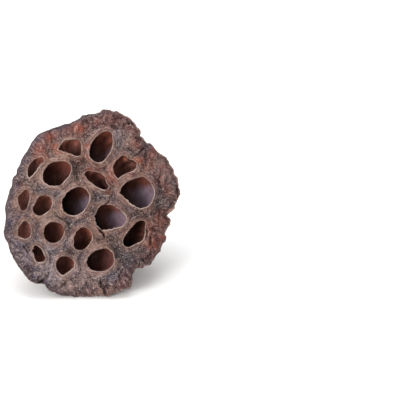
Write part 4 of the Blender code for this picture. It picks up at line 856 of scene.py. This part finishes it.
def stem_stub():
    """The cut stalk: corky, waisted in the middle, with an uneven cut end and air canals in it."""
    b = Builder()
    n = 132
    turn = np.linspace(0, 2 * math.pi, n, endpoint=False)
    way = np.column_stack([np.cos(turn), np.sin(turn)])
    uneven = 1 + 0.05 * np.cos(2 * turn + 0.5) + 0.045 * np.cos(3 * turn + 2.0) + 0.03 * np.cos(5 * turn)
    top = NECK_Z - STUB_GAP
    shares = np.concatenate([[-0.045, -0.02], np.linspace(0.0, 0.97, 34), [0.99]])
    radii = np.interp(shares, [-0.05, 0.0, 0.07, 0.22, 0.45, 0.70, 0.90, 0.985], [5.0, 5.6, 6.1, 5.95, 5.4, 5.5, 5.95, 5.75])
    ring = None
    for share, r in zip(shares, radii):
        lift = 0.55 * share * np.cos(turn - 0.8)
        base = np.column_stack([0.6 * share + r * uneven * way[:, 0], r * uneven * way[:, 1], top - STUB_LEN * share + lift])
        flow = base * [1, 1, 0.22]
        plates = np.clip(creased(base * [1, 1, 0.6] + 0.5 * noise(base, 2.5, 81)[:, None], 3.4, 82) + 0.35 * smooth(noise(base, 4.0, 90) * 1.5), 0, 1)
        ridge = layered(flow, 1.9, 3, 83, 0.6)
        h = 0.30 * ridge - 0.40 * (1 - smooth(plates * 1.8)) + 0.12 * layered(base, 1.0, 2, 84)
        h *= float(smooth((share + 0.05) / 0.06))
        if share > 0.93:
            h = h - 0.25 * (share - 0.93) / 0.06
            base[:, 2] += (0.45 * noise(base, 2.2, 85) + 0.2 * noise(base, 0.9, 86)) * (share - 0.93) / 0.06
        p = base + np.column_stack([way * h[:, None], 0 * h])
        now = b.add(p, flow=flow, fold=smooth(plates * 1.8), rib=ridge, side=1.0, deep=np.full(n, share))
        if ring is None:
            first = now
        else:
            b.band(ring, now)
        ring = now
    b.cap(first, b.add([(0, 0, top + 0.6)], side=1.0, fold=1.0)[0], flip=True)
    # the cut end
    end = np.vstack(b.points[-2:-1])[:, :]
    edge = np.vstack(b.points)[ring]
    canals = [
        (1.7, 0.9, 0.75), (-1.2, 1.9, 0.55), (-0.9, -0.7, 0.8), (1.3, -1.9, 0.6), (0.5, 3.1, 0.4), (3.4, -0.6, 0.4), (-3.1, 0.5, 0.45), (-2.6, -2.4, 0.4), (-0.5, -3.5, 0.3), (3.0, 2.4, 0.3), (0.4, -0.1, 0.2), (-1.9, 3.4, 0.25), (2.9, -2.9, 0.25), (-4.0, 2.0, 0.2),
    ]
    middle = edge[:, :2].mean(0)
    loop = edge[:, :2] * 0.96 + 0.04 * middle
    step = 0.40
    grid = np.array([(x + (0.5 * step if row % 2 else 0), y) for row, y in enumerate(np.arange(-8, 8, step * 0.866)) for x in np.arange(-8, 8, step)])
    grid += np.random.default_rng(5).uniform(-0.08, 0.08, grid.shape)
    grid = grid[inside(loop, grid)]
    grid = grid[distance_to(loop, grid) > 0.25]
    flat = np.vstack([loop, grid])
    ties = [(i, (i + 1) % n) for i in range(n)]
    _, _, triangles, origin, _, _ = geometry.delaunay_2d_cdt([Vector(p) for p in flat], ties, [], 1, 1e-6)
    back = np.array([o[0] for o in origin])
    triangles = back[np.array(triangles)]
    u, v, w = (flat[triangles[:, k]] for k in range(3))
    wound = (v[:, 0] - u[:, 0]) * (w[:, 1] - u[:, 1]) - (v[:, 1] - u[:, 1]) * (w[:, 0] - u[:, 0])
    triangles[wound > 0] = triangles[wound > 0][:, ::-1]
    around = np.arctan2(flat[:, 1] - middle[1], flat[:, 0] - middle[0])
    far = np.linalg.norm(flat - middle, axis=1) / 6
    z = top - STUB_LEN * 1.005 + 0.55 * np.cos(around - 0.8) * far
    p = np.column_stack([flat, z])
    hole = np.zeros(len(flat))
    for x, y, r in canals:
        d = np.linalg.norm(flat - [0.6 + x, y], axis=1)
        hole = np.maximum(hole, smooth((r + 0.22 - d) / 0.45) * min(1.0, r / 0.8))
    torn = 0.28 * layered(p, 1.6, 3, 87, 0.6) + 0.25 * (1 - smooth(creased(p, 1.7, 88) * 2)) + 2.2 * hole
    inner = np.arange(len(flat)) >= n
    z = z + np.where(inner, torn, 0.5 * (edge[:, 2].mean() - z.mean()) + torn * 0.5)
    z[:n] = edge[:, 2] + 0.02
    index = b.add(np.column_stack([flat, z]), fold=1 - 0.8 * hole, rib=layered(p, 1.2, 2, 89), deep=1.0, cell=hole, side=0.0)
    b.band(ring, index[:n])
    b.triangles.append(index[triangles])
    return b


# ---- materials ---------------------------------------------------------------------------------------------------------
class Finish:
    """A node material, with short names for the nodes that it uses."""

    def __init__(self, name):
        self.material = bpy.data.materials.new(name)
        self.material.use_nodes = True
        self.tree = self.material.node_tree
        self.shader = self.tree.nodes["Principled BSDF"]
        self.shader.inputs["Metallic"].default_value = 0
        where = self.tree.nodes.new("ShaderNodeTexCoord")
        self.mm = self.vector("SCALE", where.outputs["Object"], scale=1000.0)
        self.flow = self.attribute("flow", "Vector")

    def put(self, socket, value):
        if isinstance(value, bpy.types.NodeSocket):
            self.tree.links.new(value, socket)
        else:
            socket.default_value = value

    def vector(self, operation, a, b=None, scale=None):
        node = self.tree.nodes.new("ShaderNodeVectorMath")
        node.operation = operation
        self.put(node.inputs[0], a)
        if b is not None:
            self.put(node.inputs[1], b)
        if scale is not None:
            self.put(node.inputs["Scale"], scale)
        return node.outputs[0]

    def attribute(self, name, kind="Fac"):
        node = self.tree.nodes.new("ShaderNodeAttribute")
        node.attribute_type = "GEOMETRY"
        node.attribute_name = name
        return node.outputs[kind]

    def math(self, operation, a, b=0.0, c=0.0, clamp=False):
        node = self.tree.nodes.new("ShaderNodeMath")
        node.operation = operation
        node.use_clamp = clamp
        for socket, value in zip(node.inputs, (a, b, c)):
            self.put(socket, value)
        return node.outputs[0]

    def times(self, *values, clamp=False):
        out = values[0]
        for v in values[1:]:
            out = self.math("MULTIPLY", out, v, clamp=clamp)
        return out

    def noise(self, size, detail=3.0, rough=0.55, where=None, twist=0.0, lift=(0, 0, 0)):
        """Noise from 0 to 1, with bumps about size mm across."""
        node = self.tree.nodes.new("ShaderNodeTexNoise")
        node.inputs["Scale"].default_value = 1.0 / size
        node.inputs["Detail"].default_value = detail
        node.inputs["Roughness"].default_value = rough
        node.inputs["Distortion"].default_value = twist
        self.put(node.inputs["Vector"], self.vector("ADD", where or self.mm, lift))
        return node.outputs["Fac"]

    def cells(self, size, feature="F1", where=None, output="Distance", random=1.0):
        node = self.tree.nodes.new("ShaderNodeTexVoronoi")
        node.feature = feature
        node.inputs["Scale"].default_value = 1.0 / size
        node.inputs["Randomness"].default_value = random
        self.put(node.inputs["Vector"], where or self.mm)
        return node.outputs[output]

    def span(self, value, low, high, to_low=0.0, to_high=1.0, kind="SMOOTHSTEP"):
        node = self.tree.nodes.new("ShaderNodeMapRange")
        node.interpolation_type = kind
        for name, v in (("Value", value), ("From Min", low), ("From Max", high), ("To Min", to_low), ("To Max", to_high)):
            self.put(node.inputs[name], v)
        return node.outputs["Result"]

    def mix(self, share, a, b, blend="MIX"):
        node = self.tree.nodes.new("ShaderNodeMix")
        node.data_type = "RGBA"
        node.blend_type = blend
        node.clamp_factor = True
        self.put(node.inputs[0], share)
        for socket, value in ((node.inputs[6], a), (node.inputs[7], b)):
            self.put(socket, (*value, 1) if isinstance(value, tuple) else value)
        return node.outputs[2]

    def bump(self, height, distance, strength=1.0, normal=None):
        node = self.tree.nodes.new("ShaderNodeBump")
        node.inputs["Distance"].default_value = distance
        node.inputs["Strength"].default_value = strength
        self.put(node.inputs["Height"], height)
        if normal is not None:
            self.put(node.inputs["Normal"], normal)
        return node.outputs["Normal"]


def rgb(r, g, b):
    """A colour given as it is seen, 0 to 255, in the linear scale that shaders use."""
    return tuple(((c / 255 + 0.055) / 1.055) ** 2.4 if c > 10 else c / 255 / 12.92 for c in (r, g, b))


def tissue_finish():
    f = Finish("dried_tissue")
    a = {k: f.attribute(k) for k in MASKS}
    rings, rays = f.attribute("ring", "Vector"), f.attribute("spread", "Vector")
    big, mid = f.noise(11.0, 3, 0.55, twist=0.5), f.noise(4.2, 3, 0.6, lift=(40, 3, 9))
    small, speck = f.noise(1.5, 3, 0.7, lift=(9, 50, 20)), f.noise(0.62, 2, 0.8, lift=(7, 5, 90))
    dash = f.mix(a["border"], f.noise(0.95, 2, 0.7, rings, lift=(2, 7, 4)), f.noise(0.95, 2, 0.7, rays, lift=(5, 2, 8)))
    tiny = f.math("ADD", f.times(speck, 0.5), f.times(dash, 0.5))
    valley = f.math("SUBTRACT", 1.0, a["fold"], clamp=True)

    def thread(value, level, width):
        """Thin lines where a noise passes a level."""
        return f.span(f.math("ABSOLUTE", f.math("SUBTRACT", value, level)), width, 0.0)

    # the face: purple-grey and warm brown in wide soft patches
    face = f.mix(f.span(big, 0.38, 0.62), rgb(102, 82, 88), rgb(138, 100, 90))
    face = f.mix(f.times(f.span(mid, 0.48, 0.68), 0.6), face, rgb(150, 112, 102))
    face = f.mix(f.times(f.span(mid, 0.50, 0.34), 0.5), face, rgb(92, 76, 84))
    # the right border darker and rosier: partly its colour and partly painted shade
    face = f.mix(f.times(a["right"], 0.68), face, rgb(104, 74, 80))
    face = f.mix(f.times(a["hollow"], f.span(big, 0.30, 0.60, 0.3, 1.0), 0.66), face, rgb(97, 89, 92))
    face = f.mix(f.times(a["rose"], 0.95), face, rgb(138, 76, 70))
    face = f.mix(f.times(a["grey"], f.span(mid, 0.22, 0.50, 0.5, 1.0), 0.95), face, rgb(99, 97, 103))
    face = f.mix(f.times(a["left"], 0.30), face, rgb(108, 94, 100))
    # a grey band along the upper-left rim: partly its colour and partly painted shade
    face = f.mix(f.times(a["edge"], f.span(mid, 0.25, 0.55, 0.6, 1.0), 0.80), face, rgb(92, 80, 90))
    face = f.mix(f.times(a["blue"], f.span(mid, 0.20, 0.50, 0.5, 1.0), 0.90), face, rgb(92, 91, 112))
    face = f.mix(f.times(a["collar"], f.span(mid, 0.30, 0.50, 0.4, 1.0), 0.68), face, rgb(163, 125, 109))
    face = f.mix(f.times(a["orange"], f.span(mid, 0.30, 0.56, 0.5, 1.0), 1.0), face, rgb(184, 96, 70))
    face = f.mix(f.times(a["tan"], 0.70), face, rgb(160, 120, 98))
    face = f.mix(f.times(a["mauve"], 0.80), face, rgb(150, 132, 138))
    blotch = f.noise(5.5, 3, 0.6, lift=(31, 3, 70), twist=0.6)
    face = f.mix(f.times(f.span(blotch, 0.47, 0.34), f.span(f.math("MAXIMUM", a["collar"], a["left"]), 0.1, 0.9, 0.50, 0.15)), face, rgb(70, 54, 60))
    face = f.mix(f.times(f.span(blotch, 0.53, 0.68), f.span(a["left"], 0.1, 0.9, 0.40, 0.15)), face, rgb(172, 136, 124))
    # painted shade in the hollows, folds and under the lips, greyer in the grey places
    face = f.mix(f.times(a["shade"], 0.95), face, f.mix(f.math("MAXIMUM", a["blue"], a["grey"]), rgb(54, 35, 31), rgb(46, 40, 44)))
    face = f.mix(f.times(a["pale"], 0.84), face, f.mix(f.math("MAXIMUM", a["blue"], f.times(a["grey"], 0.7)), rgb(178, 151, 140), rgb(166, 160, 168)))
    # crests of the relief painted lighter, its valleys and grooves darker: painted highlight and painted shade on the
    # relief
    face = f.mix(f.times(f.span(a["crest"], 0.55, 0.98), 0.40), face, rgb(176, 136, 124))
    face = f.mix(f.times(f.span(a["crest"], 0.42, 0.02), 0.40), face, rgb(64, 45, 50))
    face = f.mix(f.times(valley, 0.40), face, rgb(54, 35, 38))
    face = f.mix(f.times(a["groove"], 0.40), face, rgb(84, 62, 58))
    # fine wrinkles, drawn out round the cells and along the folds of the border
    wrinkle = f.mix(a["border"], f.mix(a["collar"], f.noise(2.3, 3, 0.6, twist=1.2, lift=(8, 1, 30)), f.noise(2.2, 3, 0.6, rings, twist=0.25)), f.noise(2.6, 3, 0.6, rays, twist=0.6))
    face = f.mix(f.times(thread(wrinkle, 0.50, 0.034), 0.74), face, rgb(48, 34, 35))
    face = f.mix(f.times(thread(wrinkle, 0.575, 0.036), f.math("ADD", f.span(f.math("MAXIMUM", a["collar"], a["border"]), 0.2, 0.9, 0.36, 0.56), f.times(f.math("ADD", a["border"], f.times(a["right"], 0.6)), -0.20))), face, f.mix(a["right"], rgb(198, 170, 160), rgb(176, 140, 136)))
    face = f.mix(f.times(thread(wrinkle, 0.41, 0.030), 0.50), face, rgb(60, 42, 44))
    face = f.mix(f.times(thread(wrinkle, 0.66, 0.035), 0.35), face, rgb(76, 56, 57))
    # a fine grain of light and dark, calmer on the collars and in the red places
    calm = f.math("SUBTRACT", f.math("ADD", 1.0, f.times(a["hollow"], 0.35)), f.math("MAXIMUM", f.times(a["collar"], 0.45), f.times(a["orange"], 0.5)))
    face = f.mix(f.times(f.span(small, 0.53, 0.68), calm, 0.24), face, rgb(176, 150, 142))
    face = f.mix(f.times(f.span(small, 0.47, 0.34), calm, 0.34), face, rgb(58, 43, 46))
    face = f.mix(f.times(f.span(tiny, 0.53, 0.63), calm, 0.68), face, rgb(204, 182, 174))
    face = f.mix(f.times(f.span(tiny, 0.47, 0.37), calm, 0.76), face, rgb(46, 34, 36))
    # pale grit that lies in the grey places
    grit_at = f.cells(1.1, where=f.vector("ADD", f.mm, (3, 8, 1)))
    grit_one = f.cells(1.1, where=f.vector("ADD", f.mm, (3, 8, 1)), output="Color")
    chosen = f.span(grit_one, 0.62, 0.74)
    room = f.math("ADD", f.times(a["grey"], 0.8), f.math("ADD", f.times(a["low"], 0.6), 0.05), clamp=True)
    face = f.mix(f.times(f.span(grit_at, 0.22, 0.06), chosen, room, 0.8), face, rgb(200, 191, 187))
    # painted shade: the right and left borders and the hollows between the cells are darkened
    face = f.vector("SCALE", face, scale=f.times(f.span(a["right"], 0.0, 1.0, 0.88, 0.71), f.span(a["left"], 0.0, 1.0, 1.0, 0.88), f.span(a["hollow"], 0.2, 1.0, 1.0, 0.87)))
    face = f.mix(f.times(a["dust"], 0.9), face, rgb(208, 198, 190))
    # painted shade along the left rim where it turns away
    face = f.mix(f.times(a["brink"], 0.80), face, rgb(52, 43, 51))
    # the rim's edge lighter towards the upper right: partly wear and partly a painted highlight
    face = f.mix(f.times(a["worn"], f.span(small, 0.36, 0.52), 0.85), face, rgb(216, 178, 160))
    face = f.mix(f.times(a["lip"], 0.90), face, rgb(203, 179, 168))
    face = f.mix(f.times(a["torn"], 0.8), face, rgb(186, 150, 130))
    # cracks, pits and nicks painted nearly black: painted shade in them
    face = f.mix(a["crack"], face, rgb(22, 12, 11))
    # the cone: streaks that run from the stalk to the rim
    streak, hair, fuzz = f.noise(4.5, 3, 0.6, f.flow), f.noise(1.5, 4, 0.7, f.flow, lift=(3, 8, 5)), f.noise(0.6, 3, 0.7, f.flow, lift=(13, 4, 6))
    cone = f.mix(f.span(big, 0.40, 0.60), rgb(108, 78, 78), rgb(134, 94, 80))
    cone = f.mix(f.times(f.span(streak, 0.52, 0.66), 0.8), cone, rgb(150, 100, 82))
    cone = f.mix(f.times(f.span(streak, 0.48, 0.34), 0.7), cone, rgb(90, 64, 66))
    cone = f.mix(f.times(f.span(a["deep"], 0.45, 0.85), f.span(big, 0.35, 0.60, 0.3, 1.0), 0.8), cone, rgb(160, 98, 66))
    cone = f.mix(f.times(f.span(hair, 0.53, 0.66), 0.50), cone, rgb(174, 132, 112))
    cone = f.mix(f.times(f.span(hair, 0.47, 0.34), 0.65), cone, rgb(58, 38, 36))
    cone = f.mix(f.times(f.span(fuzz, 0.54, 0.68), 0.35), cone, rgb(186, 150, 132))
    cone = f.mix(f.times(f.span(fuzz, 0.46, 0.32), 0.45), cone, rgb(52, 34, 33))
    # painted shade in the cone's creases and pleats
    cone = f.mix(f.times(valley, 0.85), cone, rgb(40, 25, 24))
    cone = f.mix(f.times(f.span(small, 0.56, 0.70), 0.20), cone, rgb(180, 158, 150))
    cone = f.vector("SCALE", cone, scale=0.88)
    skin = f.mix(a["side"], face, cone)
    # the cells: red-brown and satin, darker to the bottom, with painted light on the wall that faces the light and
    # painted shade on the wall away from it, some with a waxy bloom on one wall that is partly a painted sheen
    fibre = f.noise(1.6, 3, 0.65, f.vector("MULTIPLY", f.mm, (1, 0.45, 0.45)), lift=(1, 70, 4))
    wall = f.mix(f.span(f.noise(4.5, 3, 0.6, lift=(1, 70, 4)), 0.38, 0.62), rgb(72, 43, 37), rgb(90, 54, 47))
    # painted light: the wall that faces the light is lighter and redder
    wall = f.mix(a["lit"], wall, rgb(137, 75, 59))
    wall = f.mix(f.times(f.span(fibre, 0.54, 0.72), 0.36), wall, rgb(158, 104, 86))
    wall = f.mix(f.times(f.span(fibre, 0.46, 0.30), 0.50), wall, rgb(38, 22, 19))
    wall = f.mix(f.times(f.span(speck, 0.55, 0.70), 0.22), wall, rgb(150, 110, 98))
    wall = f.mix(f.times(f.span(speck, 0.45, 0.30), 0.25), wall, rgb(30, 18, 16))
    wall = f.mix(f.span(a["deep"], 0.08, 0.9, 0.0, 0.42), wall, rgb(38, 22, 19))
    # the painted light and shade that the light attribute carries
    wall = f.vector("SCALE", wall, scale=a["light"])
    # the waxy bloom, partly a painted sheen
    wall = f.mix(f.times(a["bloom"], f.span(mid, 0.25, 0.6, 0.8, 1.0), f.span(fibre, 0.28, 0.66, 0.62, 1.0), f.span(speck, 0.30, 0.62, 0.80, 1.0)), wall, rgb(146, 130, 147))
    colour = f.mix(a["cell"], skin, wall)
    colour = f.mix(f.times(a["lip"], a["cell"], 0.45), colour, rgb(150, 118, 102))
    colour = f.vector("SCALE", colour, scale=0.818)
    f.put(f.shader.inputs["Base Color"], colour)
    rough = f.math("ADD", f.span(mid, 0.3, 0.7, 0.74, 0.94), f.times(a["cell"], f.span(a["bloom"], 0.0, 0.6, -0.24, -0.38)))
    f.put(f.shader.inputs["Roughness"], rough)
    f.shader.inputs["Specular IOR Level"].default_value = 0.13
    grit = f.math("ADD", f.math("ADD", f.times(small, 0.4), f.times(tiny, 0.4)), f.times(wrinkle, 1.2))
    grit = f.math("MULTIPLY", grit, f.span(a["cell"], 0, 1, 1.0, 0.16))
    f.put(f.shader.inputs["Normal"], f.bump(f.math("ADD", grit, f.times(hair, a["side"], 1.0)), 0.0006, 1.0))
    return f.material


def cork_finish():
    f = Finish("stalk_cork")
    a = {k: f.attribute(k) for k in ("fold", "rib", "deep", "cell", "side")}
    big, small, tiny = f.noise(4.0, 3, 0.6), f.noise(1.2, 4, 0.7, f.flow), f.noise(0.5, 3, 0.7)
    colour = f.mix(f.span(big, 0.38, 0.62), rgb(190, 144, 106), rgb(216, 174, 134))
    colour = f.mix(f.times(f.span(small, 0.52, 0.72), 0.7), colour, rgb(230, 198, 164))
    colour = f.mix(f.times(f.span(small, 0.44, 0.28), 0.65), colour, rgb(140, 92, 66))
    colour = f.mix(f.times(f.math("SUBTRACT", 1.0, a["fold"], clamp=True), 0.60), colour, rgb(96, 60, 42))
    pits = f.cells(1.9, where=f.vector("ADD", f.mm, (2, 5, 3)))
    colour = f.mix(f.times(f.span(pits, 0.22, 0.10), 0.8), colour, rgb(74, 46, 34))
    colour = f.mix(f.times(f.span(a["deep"], 0.22, 0.0), a["side"], 0.6), colour, rgb(118, 76, 58))
    colour = f.mix(f.times(f.span(tiny, 0.40, 0.24), 0.6), colour, rgb(96, 62, 46))
    # the air canals in the cut end painted dark: painted shade in the holes
    colour = f.mix(a["cell"], colour, rgb(40, 24, 18))
    colour = f.vector("SCALE", colour, scale=0.80)
    f.put(f.shader.inputs["Base Color"], colour)
    f.put(f.shader.inputs["Roughness"], f.span(small, 0.3, 0.7, 0.78, 0.95))
    f.shader.inputs["Specular IOR Level"].default_value = 0.3
    f.put(f.shader.inputs["Normal"], f.bump(f.math("ADD", small, f.times(tiny, 0.6)), 0.0004, 0.9))
    return f.material


def show(name, builder, finish, node):
    obj = bpy.data.objects.new(name, builder.mesh(name))
    obj.data.materials.append(finish)
    bpy.context.scene.collection.objects.link(obj)
    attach(obj, "root")
    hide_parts(node)
    return obj


# ---- floor, light and camera ----------------------------------------------------------------------------------------------
def studio():
    scene = bpy.context.scene
    mesh = bpy.data.meshes.new("floor")
    mesh.from_pydata([(-6, -6, 0), (6, -6, 0), (6, 6, 0), (-6, 6, 0)], [], [(0, 1, 2, 3)])
    floor = bpy.data.objects.new("floor", mesh)
    scene.collection.objects.link(floor)
    paper = bpy.data.materials.new("paper")
    paper.use_nodes = True
    paper.node_tree.nodes["Principled BSDF"].inputs["Base Color"].default_value = (0.93, 0.93, 0.925, 1)
    paper.node_tree.nodes["Principled BSDF"].inputs["Roughness"].default_value = 1.0
    paper.node_tree.nodes["Principled BSDF"].inputs["Specular IOR Level"].default_value = 0.0
    mesh.materials.append(paper)

    world = bpy.data.worlds.new("room")
    world.use_nodes = True
    world.node_tree.nodes["Background"].inputs["Color"].default_value = (1, 1, 1, 1)
    world.node_tree.nodes["Background"].inputs["Strength"].default_value = 0.80
    scene.world = world

    def lamp(name, azimuth, height, distance, size, power, colour=(1, 1, 1)):
        light = bpy.data.lights.new(name, "AREA")
        light.shape = "DISK"
        light.size = size
        light.energy = power
        light.color = colour
        obj = bpy.data.objects.new(name, light)
        a, e = math.radians(azimuth), math.radians(height)
        back = Vector((math.sin(a) * math.cos(e), -math.cos(a) * math.cos(e), math.sin(e)))
        obj.location = back * distance + Vector((0, 0, 0.04))
        obj.rotation_mode = "QUATERNION"
        obj.rotation_quaternion = back.to_track_quat("Z", "Y")
        scene.collection.objects.link(obj)

    lamp("key", -50, 16, 1.6, 0.7, 19.0, (1.0, 0.985, 0.97))
    lamp("top", 175, 72, 1.6, 1.5, 13.0, (0.97, 0.985, 1.0))
    lamp("left", -105, 40, 1.6, 1.2, 5.0)
    lamp("back", 140, 35, 1.8, 0.9, 2.4)

    a, e = math.radians(EYE_TURN), math.radians(EYE_HEIGHT)
    right = Vector((math.cos(a), -math.sin(a), 0))
    up = Vector((math.sin(a) * math.sin(e), math.cos(a) * math.sin(e), math.cos(e)))
    back = Vector((-math.sin(a) * math.cos(e), -math.cos(a) * math.cos(e), math.sin(e)))
    x0, y0 = (GRID_CENTRE[0] - GRID_MIDDLE[0]) * SQUARE, (GRID_MIDDLE[1] - GRID_CENTRE[1]) * SQUARE
    camera = bpy.data.objects.new("camera", bpy.data.cameras.new("camera"))
    camera.data.sensor_width = 36.0
    camera.data.sensor_fit = "HORIZONTAL"
    camera.data.lens = 36.0 * EYE_DISTANCE / (400 * SQUARE)
    camera.data.clip_start, camera.data.clip_end = 0.05, 30
    place = (Vector(SHIFT) + EYE_DISTANCE * back - x0 * right - y0 * up) / 1000
    camera.matrix_world = Matrix.Translation(place) @ Matrix((right, up, back)).transposed().to_4x4()
    scene.collection.objects.link(camera)
    scene.camera = camera
    scene.view_settings.view_transform = "Standard"


pod = show("pod_receptacle", receptacle(), tissue_finish(), "receptacle")
stub = show("pod_stem_stub", stem_stub(), cork_finish(), "stem_stub")
studio()
bpy.context.view_layer.update()
